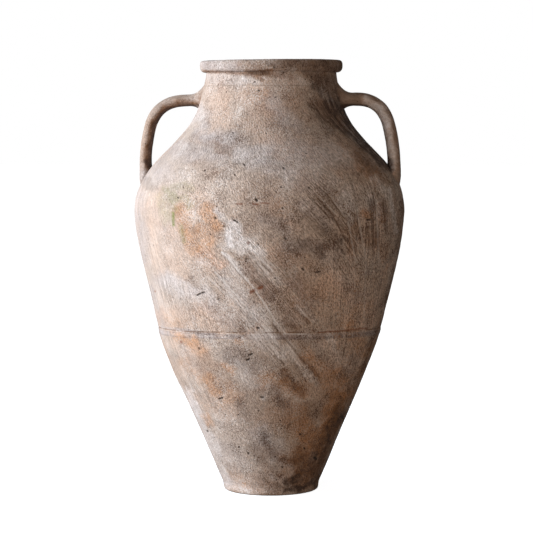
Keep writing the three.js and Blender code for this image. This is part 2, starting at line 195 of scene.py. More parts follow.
# Soot is black and dark grey; around the right handle, on the neck's right side, along the right outline and over the
# lower right, its strokes are also painted shade
SOOT_AND_SHADE = (
    (0.4, 10, (308, 216), (324, 230)), (0.6, 11, (302, 244), (320, 248)), (0.5, 7, (312, 238), (322, 254)),
    (0.4, 12, (330, 232), (346, 248)), (0.2, 8, (270, 221), (279, 226)), (0.2, 14, (196, 142), (240, 136)),
    # (360, 156) to (374, 168) is soot and painted shade in the corner under the right handle
    (0.4, 8, (360, 156), (374, 168)), (0.3, 8, (262, 278), (272, 298)), (0.12, 10, (296, 284), (310, 304)),
    (0.15, 8, (304, 346), (318, 352)), (0.3, 7, (228, 358), (240, 366)), (0.3, 9, (284, 240), (300, 252)),
    # From here to (331, 99), the strokes on the right of the neck and shoulder and under the right handle are soot and
    # painted shade: the handle's shadow and the shaded side
    (0.8, 13, (328, 104), (348, 128)), (0.85, 11, (338, 122), (366, 146)),
    (1.0, 10, (338, 104), (350, 122), (363, 138), (389, 166)), (0.6, 9, (314, 106), (326, 122)),
    (0.4, 10, (316, 116), (332, 132)), (0.65, 9, (314, 88), (331, 99)), (0.3, 22, (332, 202), (354, 228)),
    (0.25, 14, (230, 352), (256, 364)), (0.35, 8, (240, 402), (246, 416)), (0.4, 9, (262, 434), (272, 452)),
    (0.3, 10, (250, 446), (262, 460)), (0.12, 9, (222, 446), (240, 452)), (0.35, 9, (274, 388), (286, 406)),
    # The broad strokes over the lower right and the foot, on this line and the next three, are dark dirt and painted
    # shade
    (0.9, 3.5, (344, 413), (339, 421)), (0.8, 3.5, (327, 427), (330, 443)), (0.55, 8, (334, 424), (316, 476)),
    (0.5, 9, (320, 442), (314, 466)), (0.65, 5, (313, 455), (318, 461)), (0.85, 5, (287, 483), (299, 478)),
    (0.95, 7, (284, 490), (302, 487), (312, 483)), (0.25, 9, (300, 462), (308, 474)),
    (0.35, 7, (272, 488), (286, 491)), (0.6, 6, (317, 472), (311, 484)), (0.35, 6, (346, 354), (352, 362)),
    (0.3, 8, (145, 182), (153, 186)), (0.35, 8, (192, 279), (199, 284)), (0.2, 6, (220, 147), (228, 151)),
    (0.3, 7, (226, 146), (236, 136)), (0.6, 4, (249, 72.5), (268, 72.5)), (0.45, 8, (312, 75), (322, 80)),
    # (330, 80) to (336, 96) is soot and painted shade on the neck's right side
    (0.35, 8, (330, 80), (336, 96)), (0.4, 3.5, (384, 200), (386, 232)), (0.55, 8, (316, 63), (338, 67)),
    (0.5, 3.5, (321, 63), (326, 66)), (0.5, 3.5, (331, 65), (337, 68)), (0.45, 3.5, (268, 63), (275, 66)),
    (0.25, 12, (280, 62), (310, 66)), (0.35, 5, (336, 262), (342, 268)), (0.4, 5, (372, 200), (376, 246)),
    # Painted shade: a dark edge along the jar's right outline
    (0.2, 4, (402, 206), (401, 242), (392, 290), (380, 330)),
    (0.35, 2.6, (281, 338), (312, 338), (346, 336), (373, 333)), (0.4, 2.2, (188, 331), (215, 334.5)),
    (0.45, 2.2, (226, 336), (240, 337.5)),
)
# Umber is brown earth and dirt; under the rim, around the right handle, along the right outline and over the lower
# right, its strokes are also painted shade
UMBER_AND_SHADE = (
    # (204, 71.4) to (250, 73) is a painted shadow under the rim's edge, with some dirt
    (0.85, 5, (248, 72.5), (270, 72.5)), (0.75, 2.6, (204, 71.4), (228, 72.8), (250, 73)),
    (0.75, 4, (254, 76), (262, 80)), (0.4, 9, (308, 75), (318, 79)), (0.6, 5, (264, 73), (290, 76)),
    # (324, 76) to (336, 92) and (322, 104) to (346, 128) are dirt and painted shade on the right of the neck and under
    # the right handle
    (0.45, 12, (324, 76), (336, 92)), (0.45, 15, (322, 104), (346, 128)), (0.1, 16, (266, 84), (292, 102)),
    (0.15, 22, (218, 86), (244, 120)), (0.2, 12, (208, 84), (207, 116)), (0.3, 8, (219, 147), (230, 151)),
    # (358, 156) to (370, 172) here and (374, 168) to (386, 180) on the next line are dirt and painted shade in the
    # corner under the right handle
    (0.5, 9, (358, 156), (370, 172)), (0.45, 7, (377, 206), (382, 219)), (0.55, 8, (348, 232), (354, 260)),
    (0.4, 7, (374, 168), (386, 180)), (0.3, 8, (240, 258), (250, 267)), (0.45, 9, (246, 268), (259, 284)),
    (0.25, 12, (296, 256), (312, 264)), (0.25, 14, (278, 262), (302, 284)), (0.3, 15, (268, 292), (288, 316)),
    (0.55, 13, (284, 304), (304, 318)), (0.25, 14, (292, 284), (318, 296)), (0.45, 9, (286, 321), (300, 330)),
    (0.7, 11, (286, 378), (300, 390)), (0.1, 18, (334, 366), (352, 384)), (0.5, 12, (334, 396), (344, 412)),
    # Most strokes on this line and the next three lie over the lower right, its edge and its foot, and are brown dirt
    # and painted shade
    (0.45, 14, (304, 410), (338, 414)), (0.6, 11, (300, 362), (316, 378)), (0.85, 12, (284, 462), (304, 474)),
    (0.95, 12, (339, 408), (322, 452)), (0.9, 11, (332, 430), (314, 476)), (0.3, 18, (304, 436), (314, 450)),
    (0.7, 16, (298, 456), (314, 474)), (0.4, 13, (284, 472), (308, 486)), (0.1, 13, (256, 484), (276, 490)),
    (0.05, 12, (276, 450), (296, 464)), (0.5, 9, (358, 384), (340, 414)), (0.7, 5, (374, 340), (358, 378)),
    (0.4, 10, (354, 228), (384, 250)), (0.2, 14, (322, 258), (352, 266)), (0.3, 12, (178, 212), (184, 226)),
    (0.25, 9, (208, 306), (224, 318)), (0.3, 6, (212, 206), (220, 214)), (0.25, 7, (172, 300), (184, 312)),
    (0.45, 10, (244, 332), (262, 342)), (0.12, 15, (244, 398), (268, 416)), (0.35, 17, (276, 408), (300, 424)),
    (0.3, 14, (206, 360), (226, 384)), (0.15, 10, (196, 166), (216, 174)), (0.25, 20, (252, 196), (286, 214)),
    (0.4, 14, (286, 60), (336, 66)), (0.3, 8, (244, 66), (272, 70)),
    # Painted shade: a dark brown edge along the jar's right outline
    (0.4, 6, (403, 200), (402, 240), (393, 290), (381, 330), (366, 366), (350, 398)),
    (0.15, 12, (286, 440), (296, 452)), (0.4, 12, (290, 336), (316, 338)),
)
# Moss is the green growth on the lit shoulder
MOSS = (
    (0.25, 7, (172, 186), (192, 188)), (0.35, 7, (166, 191), (178, 198)), (0.35, 6, (168, 199), (177, 210)),
    (0.95, 2.2, (173, 213), (173.5, 225)), (0.45, 4, (181, 226), (184, 242)), (0.35, 7, (184, 198), (190, 208)),
    (0.25, 9, (160, 200), (168, 218)),
)
# Ash is a cool grey, slightly lilac film
ASH = (
    (0.6, 15, (202, 136), (234, 142)), (0.6, 14, (234, 148), (270, 152)), (0.5, 16, (178, 150), (220, 158)),
    (0.5, 13, (250, 164), (300, 161)), (0.4, 12, (268, 100), (284, 122)), (0.45, 18, (268, 150), (330, 158)),
    (0.4, 16, (290, 178), (330, 188)), (0.5, 13, (306, 206), (326, 222)), (0.4, 12, (264, 218), (284, 228)),
    (0.4, 14, (290, 244), (336, 254)), (0.3, 14, (340, 284), (360, 298)), (0.35, 12, (292, 284), (312, 304)),
    (0.5, 15, (162, 280), (198, 296)), (0.4, 16, (206, 304), (234, 322)), (0.45, 10, (254, 276), (270, 298)),
    (0.25, 14, (230, 354), (258, 366)), (0.4, 13, (268, 390), (290, 404)), (0.6, 15, (258, 434), (280, 452)),
    (0.3, 14, (216, 446), (240, 462)), (0.75, 4, (281, 337), (330, 336), (374, 333)),
    (0.6, 3, (160, 327), (190, 331), (215, 334)), (0.6, 10, (204, 64), (238, 67)),
    (0.4, 12, (194, 106), (206, 126)), (0.4, 14, (146, 176), (166, 168)), (0.4, 9, (192, 404), (216, 456)),
    (0.35, 16, (346, 196), (386, 214)), (0.5, 16, (134, 190), (138, 262)), (0.4, 12, (150, 290), (160, 330)),
    (0.2, 11, (210, 78), (244, 82)), (0.4, 10, (212, 470), (226, 484)),
)
# Slant is where drag marks run down to the right round the jar, and upright where they run nearly straight down
SLANT = (
    (0.5, 30, (258, 250), (300, 316)), (0.5, 24, (206, 262), (256, 328)), (0.75, 24, (316, 196), (350, 262)),
    (0.6, 18, (312, 102), (350, 136)), (0.5, 24, (268, 334), (312, 376)),
)
UPRIGHT = (
    (1.0, 30, (366, 196), (380, 300)), (0.7, 24, (160, 286), (200, 326)), (0.8, 28, (340, 286), (356, 376)),
    (0.6, 22, (165, 345), (205, 400)), (0.25, 24, (210, 92), (250, 128)), (0.2, 22, (290, 396), (318, 450)),
    (0.3, 22, (140, 210), (160, 290)), (0.5, 14, (320, 84), (334, 104)),
)
# Gouges pressed into the wall: depth in millimetres, half width in pixels, path; a swelling has less than no depth
GOUGES = (
    (0.5, 2.2, (318, 198), (333, 215), (346, 241)), (0.4, 2, (316, 203), (330, 219), (340, 236)),
    (0.5, 2.4, (273, 325), (292, 347), (306, 364)), (0.4, 2.2, (274, 356), (285, 364)),
    (0.25, 2, (222, 252), (247, 280), (270, 312), (286, 334)), (0.2, 2, (215, 272), (238, 298), (260, 325)),
    (-2.4, 38, (158, 352), (166, 366)),
)
# Thin pale scratches
PALE_SCRATCHES = (
    (1.0, 1.9, (222, 252), (236, 268), (247, 280)), (0.85, 1.4, (247, 280), (258, 294), (276, 322), (286, 334)),
    (0.4, 1.3, (226, 253), (242, 268)), (0.4, 1.5, (215, 272), (238, 298), (260, 325)),
    (0.3, 1.3, (221, 284), (246, 312)), (0.3, 1.3, (208, 277), (228, 297)), (0.45, 1.2, (252, 256), (268, 273)),
    (0.45, 1.2, (256, 255), (273, 271)), (0.4, 1.2, (261, 255), (276, 268)), (0.35, 1.2, (249, 260), (264, 276)),
    (0.5, 1.3, (257, 325), (272, 346)), (0.45, 1.3, (263, 326), (277, 345)), (0.4, 1.3, (270, 346), (286, 361)),
    (0.35, 1.3, (322, 199), (338, 216)), (0.35, 1.3, (331, 196), (345, 217)), (0.35, 1.4, (348, 222), (356, 262)),
    (0.35, 1.4, (356, 206), (366, 258)), (0.35, 1.4, (376, 200), (379, 262)), (0.3, 1.3, (366, 262), (364, 318)),
    (0.3, 1.3, (193, 226), (196, 206), (206, 200)), (0.4, 1.4, (297, 305), (313, 323)),
    (0.5, 1.2, (284, 334), (306, 334.2)),
)
# Thin dark scores
DARK_SCORES = (
    (0.95, 1.4, (318, 198), (333, 215), (346, 241)), (0.85, 1.3, (316, 203), (331, 219)),
    (0.65, 1.4, (327, 194), (341, 213)), (0.6, 1.6, (273, 325), (292, 347), (306, 364)),
    (0.5, 1.5, (274, 356), (285, 364)), (0.4, 1.3, (224, 256), (246, 281)), (0.45, 1.4, (256, 262), (268, 277)),
    (0.4, 1.4, (262, 262), (274, 275)), (0.45, 1.6, (352, 230), (356, 252)), (0.45, 1.6, (371, 206), (374, 256)),
    (0.4, 1.6, (383, 196), (386, 236)), (0.4, 1.4, (202, 320), (226, 323)),
)
# Rust spots and the row of red dashes
RUST_SPOTS = (
    (0.85, 2.4, (251, 292), (254, 290.5)), (0.9, 2.5, (259, 288.5), (262, 287)),
    (0.7, 1.4, (237, 204), (242, 203.8)), (0.75, 1.5, (253, 203.6), (258, 204.2)),
    (0.6, 1.3, (261, 203.2), (269, 203.2)), (0.7, 1.6, (181.5, 341), (182, 342.5)),
    (0.5, 1.5, (155, 291), (155.4, 291.5)), (0.6, 2.2, (248, 242.5), (249, 243)),
    (0.6, 1.3, (319, 332.4), (345, 330.4), (367, 328)),
)
# The largest pits
PITS = (
    (0.9, 1.7, (256, 199), (257.5, 200.5)), (0.9, 1.6, (215.3, 218), (215.8, 218.3)),
    (0.9, 1.5, (234, 220.5), (235.5, 221)), (0.85, 1.4, (237, 222), (237.5, 222.4)),
    (0.8, 1.6, (285, 238), (285.4, 239)), (0.85, 1.7, (302.5, 268.5), (304, 270)),
    (0.85, 1.4, (316, 272.3), (320, 271.5)), (0.9, 1.5, (197.6, 295.4), (200.4, 294)),
    (0.85, 1.4, (202, 293.2), (204, 292.4)), (0.75, 1.5, (218.4, 299), (218.8, 299.3)),
    (0.8, 1.6, (257.4, 327.5), (259, 328.2)), (0.8, 1.5, (367, 219.6), (370, 220)),
    (0.85, 1.5, (259, 90.4), (259.6, 90.6)), (0.7, 1.4, (233, 132.5), (233.4, 133)),
    (0.8, 1.5, (244, 164), (245, 164.6)), (0.9, 1.6, (283.4, 168), (283.8, 168.3)),
    (0.8, 1.5, (281, 187), (281.6, 187.4)), (0.75, 1.5, (309, 187.5), (309.3, 188)),
    (0.7, 1.4, (205, 170), (205.5, 170)), (0.7, 1.4, (235, 174.5), (235.3, 175)),
    (0.75, 1.5, (282.5, 208), (283, 208.5)), (0.7, 1.4, (276, 191.5), (276.3, 192)),
    (0.8, 1.6, (249, 355), (252, 354)), (0.8, 1.5, (247, 360), (249.5, 359)), (0.85, 1.5, (219, 399), (222.5, 398)),
    (0.8, 1.4, (261, 397), (263, 397.3)), (0.8, 1.6, (300, 434), (300.5, 434.5)),
    (0.75, 1.5, (239, 447), (239.5, 447.3)), (0.8, 1.5, (248, 453), (249, 453.6)),
    (0.8, 1.5, (282, 467), (282.5, 467.5)), (0.9, 2.2, (314.5, 458), (316, 459)),
    (0.7, 1.4, (207.5, 431), (208, 431.4)), (0.7, 1.4, (199, 348), (200, 349)), (0.7, 1.4, (304, 448), (305, 449)),
    (0.8, 2.0, (341.5, 416), (342.5, 418)), (0.7, 1.5, (178, 197.5), (178.5, 198)),
    (0.7, 1.4, (274, 67.5), (274.6, 67.8)),
)

STAINS_AND_SHADING = (("peach_and_light", PEACH), ("ochre", OCHRE), ("lime_and_light", LIME), ("soot_and_shade", SOOT_AND_SHADE), ("umber_and_shade", UMBER_AND_SHADE), ("moss", MOSS),
          ("ash", ASH), ("slant", SLANT), ("upright", UPRIGHT))
# Strokes that only the handles carry: painted shade, with some dirt, on their shaded sides, under their arms and in the
# corners at their feet, and painted light on the right one's front
HANDLE_STROKES = {
    # Painted light: the right handle's front made pale where the lamps leave it in the jar's shadow
    "peach_and_light": ((1.0, 9, (364, 101), (376, 106), (385, 122), (388, 138), (392, 168)),),
    "lime_and_light": ((0.85, 8.5, (366, 101), (377, 107), (385, 121), (388, 138), (391.5, 166)),),
    # Painted shade with some dirt: the left handle's inner side and arm, the corners at both feet, the right arm's
    # underside
    "soot_and_shade": (
        (0.95, 5, (200, 106), (178, 107), (166, 111), (155, 126), (151.5, 142), (150, 166)),
        (0.9, 4.5, (146, 163), (151, 168)), (0.95, 3, (336, 105), (354, 106), (366, 106)),
        (1.0, 4.5, (386, 164), (390, 170)),
    ),
    # Painted shade with some dirt: the left handle's inner side, the right handle's outer edge and its arm's underside
    "umber_and_shade": (
        (1.0, 7, (203, 104), (180, 105), (164, 110), (153, 127), (150, 145), (148, 166)),
        (0.3, 2.8, (362, 95), (375, 99), (385, 106), (391.5, 118), (394.5, 131), (397.5, 155), (399, 170)),
        (0.15, 5, (338, 100), (352, 102)),
    ),
    # Painted shade: the dark corner at the right handle's foot, laid as a pit
    "pit_and_shade": ((1.0, 3.2, (386.5, 164), (389, 168.5)),),
}
THIN_MARKS = (("scratch", PALE_SCRATCHES), ("score", DARK_SCORES), ("rust", RUST_SPOTS), ("pit_and_shade", PITS))
# Marks that come and go along their path, how much wider gouges and marks are drawn, and how full their middles are
BROKEN_MARKS = ("scratch", "score")
GOUGE_SPREAD = 1.15
MARK_SPREAD = {"pit_and_shade": 0.85}
MARK_CORE = {"pit_and_shade": 1.25, "rust": 1.1}
# Strokes wider than this have ragged edges and run on round the far side; thinner ones stay on the near side
BROAD_STROKE = 4
# How ragged strokes are, as a share of their width and in pixels at most, and how sharp their edges are
BROAD_RAGGED, THIN_RAGGED = 0.6, 0.22
COARSE_RAGGED_MOST, FINE_RAGGED_MOST = 4, 1.4
FINE_RAGGED_SHARE = 0.6
STROKE_REACH = 1.8
STROKE_EDGE = 1.25
# Pixels by which the far side's stains, painted shade and painted light lie aside of the near side's and below them
FAR_SIDE_SHIFT = np.array((26, 17))
# How far behind the jar's edge a place may lie and still count as near, and how fast thin marks end beyond it
NEAR_SIDE = 0.15
NEAR_SIDE_FADE = 4


# Modelling by hand

def deselect():
    bpy.ops.object.select_all(action="DESELECT")


def activate(piece):
    deselect()
    piece.select_set(True)
    bpy.context.view_layer.objects.active = piece


def edit(piece):
    activate(piece)
    bpy.ops.object.mode_set(mode="EDIT")
    bpy.ops.mesh.select_mode(type="VERT")
    return bmesh.from_edit_mesh(piece.data)


def done():
    bpy.ops.object.mode_set(mode="OBJECT")


def select_corners(piece, wanted):
    """Selects the corners that a test of their place picks, and the edges and faces between them."""
    shape = bmesh.from_edit_mesh(piece.data)
    for corner in shape.verts:
        corner.select_set(wanted(corner))
    shape.select_flush(True)
    shape.select_flush(False)
    bmesh.update_edit_mesh(piece.data)


def pull_ring(stations):
    """Extrudes the selected ring from one (height, radius) station to the next."""
    for (low, narrow), (high, wide) in zip(stations, stations[1:]):
        bpy.ops.mesh.extrude_region_move(TRANSFORM_OT_translate={"value": (0, 0, high - low)})
        grow = wide / narrow
        bpy.ops.transform.resize(value=(grow, grow, 1), center_override=(0, 0, high))


def turned_skin(name, stations, corners):
    """A circle drawn at the first (height, radius) station and pulled through the others."""
    deselect()
    height, radius = stations[0]
    bpy.ops.mesh.primitive_circle_add(vertices=corners, radius=radius, location=(0, 0, height))
    skin = bpy.context.object
    skin.name = name
    bpy.ops.object.transform_apply(location=True)
    edit(skin)
    bpy.ops.mesh.select_all(action="SELECT")
    pull_ring(stations)
    return skin


def face_outwards(piece):
    edit(piece)
    bpy.ops.mesh.select_all(action="SELECT")
    bpy.ops.mesh.remove_doubles(threshold=1e-6)
    bpy.ops.mesh.normals_make_consistent(inside=False)
    done()


def smooth_form(piece, levels):
    activate(piece)
    bpy.ops.object.modifier_add(type="SUBSURF")
    modifier = piece.modifiers[-1]
    modifier.levels = levels
    modifier.render_levels = levels
    bpy.ops.object.modifier_apply(modifier=modifier.name)


def soften_shading(piece):
    activate(piece)
    bpy.ops.object.shade_smooth_by_angle(angle=math.radians(50))


def roughen(piece, name, strength, noise_scale, noise_depth, stretch=None):
    """Works a cloud texture into the surface of a piece, along its normals."""
    activate(piece)
    texture = bpy.data.textures.new(name, "CLOUDS")
    texture.noise_scale = noise_scale
    texture.noise_depth = noise_depth
    bpy.ops.object.modifier_add(type="DISPLACE")
    modifier = piece.modifiers[-1]
    modifier.texture = texture
    modifier.strength = strength
    modifier.texture_coords = "LOCAL"
    guide = None
    if stretch is not None:
        deselect()
        bpy.ops.object.empty_add()
        guide = bpy.context.object
        guide.scale = stretch
        bpy.context.view_layer.update()
        modifier.texture_coords = "OBJECT"
        modifier.texture_coords_object = guide
        activate(piece)
    bpy.ops.object.modifier_apply(modifier=modifier.name)
    if guide is not None:
        bpy.data.objects.remove(guide)


# The wall as thrown by hand, in millimetres: how far it strays to the camera's right and how far it swells at a height
HAND_LEAN = (
    (0, 1.1), (30, 1.3), (60, 1.2), (100, 0.4), (170, -0.2), (250, -0.3), (280, -0.8), (310, -0.3), (360, -0.4),
    (390, -0.9), (400, -1.4), (450, -1.25), (470, -0.2), (490, 0.6), (640, 1.5),
)
HAND_SWELL = (
    (0, 0), (20, 1.1), (40, 0.6), (80, -0.2), (100, -0.6), (120, -0.4), (160, 0), (230, 0), (243, -0.6), (255, -1.5),
    (270, -1.0), (290, -1.2), (310, -1.7), (330, -1.9), (360, -1.8), (390, -1.1), (405, -0.7), (430, 0), (500, 0),
)


def by_height(table, heights):
    """Lengths in metres that a table of (height, length) gives in millimetres."""
    levels, lengths = np.array(table).T * MM
    return np.interp(heights, levels, lengths)


def places_of(piece):
    places = np.empty(len(piece.data.vertices) * 3)
    piece.data.vertices.foreach_get("co", places)
    return places.reshape(-1, 3)


def move_corners(piece, places):
    piece.data.vertices.foreach_set("co", places.ravel())
    piece.data.update()


def weather_surface(piece):
    """The unevenness of hand-thrown, long-weathered clay, the same at every place for every piece."""
    roughen(piece, "hand_wobble", 1.2 * MM, noise_scale=0.2, noise_depth=1)
    roughen(piece, "wheel_rings", 0.5 * MM, noise_scale=0.3, noise_depth=1, stretch=(1, 1, 0.045))
    roughen(piece, "lumps", 0.55 * MM, noise_scale=0.03, noise_depth=2)
    roughen(piece, "grit", 0.4 * MM, noise_scale=0.006, noise_depth=2)
    places = places_of(piece)
    heights = places[:, 2]
    radius = np.maximum(np.hypot(places[:, 0], places[:, 1]), 10 * MM)
    places[:, :2] *= (1 + by_height(HAND_SWELL, heights) / radius)[:, None]
    places += np.outer(by_height(HAND_LEAN, heights), TO_RIGHT)
    move_corners(piece, places)


# Strokes laid on the surface

def cloud(places, size, seed):
    """Soft random values between -1 and 1, changing over a distance of size."""
    grid = places / size + seed * 7.31
    corner = np.floor(grid).astype(np.int64)
    share = grid - corner
    share = share * share * (3 - 2 * share)
    total = np.zeros(len(places))
    for step in itertools.product((0, 1), repeat=3):
        near = corner + step
        code = (near[:, 0] * 73856093) ^ (near[:, 1] * 19349663) ^ (near[:, 2] * 83492791)
        value = np.sin(code % 65521 * 12.9898) * 43758.5453 % 1 * 2 - 1
        total += value * np.prod(np.where(step, share, 1 - share), axis=1)
    return total


def ragged_shifts(places):
    """Small random shifts across and down, so that strokes measured with them have ragged edges."""
    coarse = np.stack([cloud(places, 14 * MM, seed) for seed in (1, 2)], axis=1)
    fine = np.stack([cloud(places, 4.5 * MM, seed) for seed in (4, 5)], axis=1)
    return coarse, fine


def camera_eye():
    aside = (AXIS_PIXEL - IMAGE_CENTRE) * CAMERA_DISTANCE / FOCAL_PIXELS
    return TO_CAMERA * CAMERA_DISTANCE + UP * CAMERA_HEIGHT - TO_RIGHT * aside


def camera_look():
    return -TO_CAMERA * math.cos(CAMERA_TILT) - UP * math.sin(CAMERA_TILT)


def walls_at(heights):
    """The outside radius of the wall at each height."""
    levels = [level * MM for level in range(12, 643)]
    return np.interp(heights, levels, [wall_radius(level) for level in levels])


def swayed(places):
    """Places near the belt moved with it, up or down along the wall."""
    places = places.copy()
    heights = places[:, 2].copy()
    radius = np.maximum(np.hypot(places[:, 0], places[:, 1]), 1e-9)
    towards = places @ np.array(TO_CAMERA) / radius
    away = np.clip(np.abs(heights - BELT_MIDDLE) / BELT_SWAY_REACH, 0, 1)
    lift = (BELT_TILT * towards + BELT_BOW * (2 * towards ** 2 - 1)) * np.cos(away * math.pi / 2) ** 2
    outwards = walls_at(heights + lift) - walls_at(heights)
    places[:, :2] *= (1 + outwards / radius)[:, None]
    places[:, 2] = heights + lift
    return places


def turned_away(places):
    """0 for places on the side that the photograph shows, up to 1 right behind."""
    radius = np.maximum(np.hypot(places[:, 0], places[:, 1]), 1e-9)
    return np.clip((-(places @ np.array(TO_CAMERA)) / radius - NEAR_SIDE) / (1 - NEAR_SIDE), 0, 1)


def photo_pixels(places):
    """The pixel that shows each place; the far side takes the near side's, carried aside the further it turns."""
    look, right = np.array(camera_look()), np.array(TO_RIGHT)
    rays = places - np.array(camera_eye())
    depth = rays @ look
    across = IMAGE_CENTRE + FOCAL_PIXELS * (rays @ right) / depth
    down = IMAGE_CENTRE - FOCAL_PIXELS * (rays @ np.cross(right, look)) / depth
    return np.stack([across, down], axis=1) + turned_away(places)[:, None] * FAR_SIDE_SHIFT


def stroke_cover(pixels, shifts, path, width):
    """How fully a stroke covers each pixel: 1 over its middle, fading to 0 at its width, ragged if it is broad."""
    coarse, fine = shifts
    path = np.array(path, float)
    reach = np.ptp(path, axis=0) / 2 + width * STROKE_REACH
    middle = (path.max(axis=0) + path.min(axis=0)) / 2
    near = np.where((np.abs(pixels - middle) < reach).all(axis=1))[0]
    cover = np.zeros(len(pixels))
    if not len(near):
        return cover
    ragged = width * (BROAD_RAGGED if width > BROAD_STROKE else THIN_RAGGED)
    spots = pixels[near] + coarse[near] * min(ragged, COARSE_RAGGED_MOST)
    spots = spots + fine[near] * min(ragged * FINE_RAGGED_SHARE, FINE_RAGGED_MOST)
    least = np.full(len(near), np.inf)
    for start, end in zip(path, path[1:]):
        along = end - start
        share = np.clip((spots - start) @ along / (along @ along), 0, 1)
        least = np.minimum(least, np.linalg.norm(spots - start - share[:, None] * along, axis=1))
    inside = np.clip((1 - least / width) * STROKE_EDGE, 0, 1)
    cover[near] = inside * inside * (3 - 2 * inside)
    return cover


def mark_skin(piece, more=None):
    """Presses gouges into a skin and lays its stains, painted shade and painted light on it as named attributes, the
    thin ones on the near side only.
    """
    places = places_of(piece)
    settled = swayed(places)
    pixels = photo_pixels(settled)
    facing = 1 - np.clip(turned_away(settled) * NEAR_SIDE_FADE, 0, 1)
    shifts = ragged_shifts(places)
    normals = np.empty(len(places) * 3)
    piece.data.vertex_normals.foreach_get("vector", normals)
    normals = normals.reshape(-1, 3)
    for depth, width, *path in GOUGES:
        places -= normals * (depth * MM * facing * stroke_cover(pixels, shifts, path, width * GOUGE_SPREAD))[:, None]
    move_corners(piece, places)
    for name, strokes in STAINS_AND_SHADING + THIN_MARKS:
        cover = np.zeros(len(places))
        for strength, width, *path in strokes + (more or {}).get(name, ()):
            touch = strength * stroke_cover(pixels, shifts, path, width * MARK_SPREAD.get(name, 1))
            cover = np.maximum(cover, touch if width > BROAD_STROKE else touch * facing)
        cover = np.minimum(cover * MARK_CORE.get(name, 1), 1)
        if name in BROKEN_MARKS:
            cover *= np.clip(0.9 + 0.6 * cloud(places, 7 * MM, 9), 0.3, 1)
        keep_attribute(piece, name, cover)


def keep_attribute(piece, name, values):
    attribute = piece.data.attributes.new(name, "FLOAT", "POINT")
    attribute.data.foreach_set("value", values.astype(np.float32))


def clean_inside(piece):
    """Takes the stains, painted shade and painted light off the faces that were pulled in from an edge."""
    places = places_of(piece)
    inside = np.hypot(places[:, 0], places[:, 1]) < walls_at(places[:, 2]) - MARKED_DEPTH
    for name, _ in STAINS_AND_SHADING + THIN_MARKS:
        values = np.empty(len(places), np.float32)
        attribute = piece.data.attributes[name]
        attribute.data.foreach_get("value", values)
        values[inside] = 0
        attribute.data.foreach_set("value", values)


def wall_stations():
    """Stations of the body skin from the foot's edge to the rim's seat, closer where a line shows."""
    stations = [(0.0, FOOT_EDGE), (0.9 * MM, 72.0 * MM), (3 * MM, 73.4 * MM), (7 * MM, 73.7 * MM)]
    height = 12 * MM
    close = ((BELT_LOW - 6 * MM, BELT_HIGH + 12 * MM), (COLLAR_JOINT - 4 * MM, COLLAR_JOINT + 6 * MM))
    while height < RIM_SEAT - 1 * MM:
        stations.append((height, wall_radius(height)))
        near_line = any(low <= height <= high for low, high in close)
        spacing = CLOSE_SPACING if near_line else RING_SPACING
        height += spacing / math.hypot(1, wall_lean(height))
    stations.append((RIM_SEAT, wall_radius(RIM_SEAT)))
    return stations


def cut_storey(skin, name, low, high):
    """A copy of the body skin kept between two heights."""
    activate(skin)
    bpy.ops.object.duplicate()
    storey = bpy.context.object
    storey.name = name
    edit(storey)
    for height, above in ((low, False), (high, True)):
        if height is None:
            continue
        bpy.ops.mesh.select_all(action="SELECT")
        bpy.ops.mesh.bisect(plane_co=(0, 0, height), plane_no=UP, clear_inner=not above, clear_outer=above,
                            threshold=1e-6)
    return storey


def top_ring(piece):
    """The upper open edge of a skin in edit mode, as a set of corner indices."""
    shape = bmesh.from_edit_mesh(piece.data)
    edges = [corner for corner in shape.verts if corner.is_boundary]
    middle = (min(corner.co.z for corner in edges) + max(corner.co.z for corner in edges)) / 2
    return {corner.index for corner in edges if corner.co.z >= middle}


def pull_inside(piece, stations):
    """Turns the top edge of a storey in and down through inside stations, and joins it to the bottom edge."""
    bmesh.from_edit_mesh(piece.data).verts.index_update()
    top_edge = top_ring(piece)
    select_corners(piece, lambda corner: corner.index in top_edge)
    pull_ring(stations)
    shape = bmesh.from_edit_mesh(piece.data)
    for corner in shape.verts:
        if corner.is_boundary:
            corner.select_set(True)
    shape.select_flush(True)
    bmesh.update_edit_mesh(piece.data)
    bpy.ops.mesh.bridge_edge_loops()
    done()
    clean_inside(piece)
    face_outwards(piece)
    soften_shading(piece)


def wall_storey(skin, name, low, high, inside_low, inside_high, rings):
    """One storey of wall: its outside cut from the skin, its inside pulled down within it."""
    piece = cut_storey(skin, name, low, high)
    heights = [inside_high + (inside_low - inside_high) * i / rings for i in range(rings + 1)]
    inside = [(height, inside_radius(height)) for height in heights]
    pull_inside(piece, [(high, wall_radius(high)), *inside])
    return piece


# Shapes

def work_finely(skin):
    """Divides the faces along the thin marks, so that the marks have clean edges."""
    settled = swayed(places_of(skin))
    pixels = photo_pixels(settled)
    still = np.zeros_like(pixels)
    near = np.zeros(len(pixels), bool)
    for _, strokes in THIN_MARKS:
        for _, width, *path in strokes:
            near |= stroke_cover(pixels, (still, still), path, width + FINE_REACH) > 0
    near &= turned_away(settled) == 0
    edit(skin)
    select_corners(skin, lambda corner: near[corner.index])
    bpy.ops.mesh.subdivide(number_cuts=1)
    done()


def settle(piece):
    """Lets a piece sway with the belt, and keeps the level that each place had before."""
    places = places_of(piece)
    keep_attribute(piece, "level", places[:, 2])
    move_corners(piece, swayed(places))
    return piece


def make_body():
    skin = turned_skin("body_skin", wall_stations(), CORNERS)
    done()
    face_outwards(skin)
    smooth_form(skin, SMOOTHING)
    work_finely(skin)
    score_lines(skin)
    weather_surface(skin)
    mark_skin(skin)
    return skin


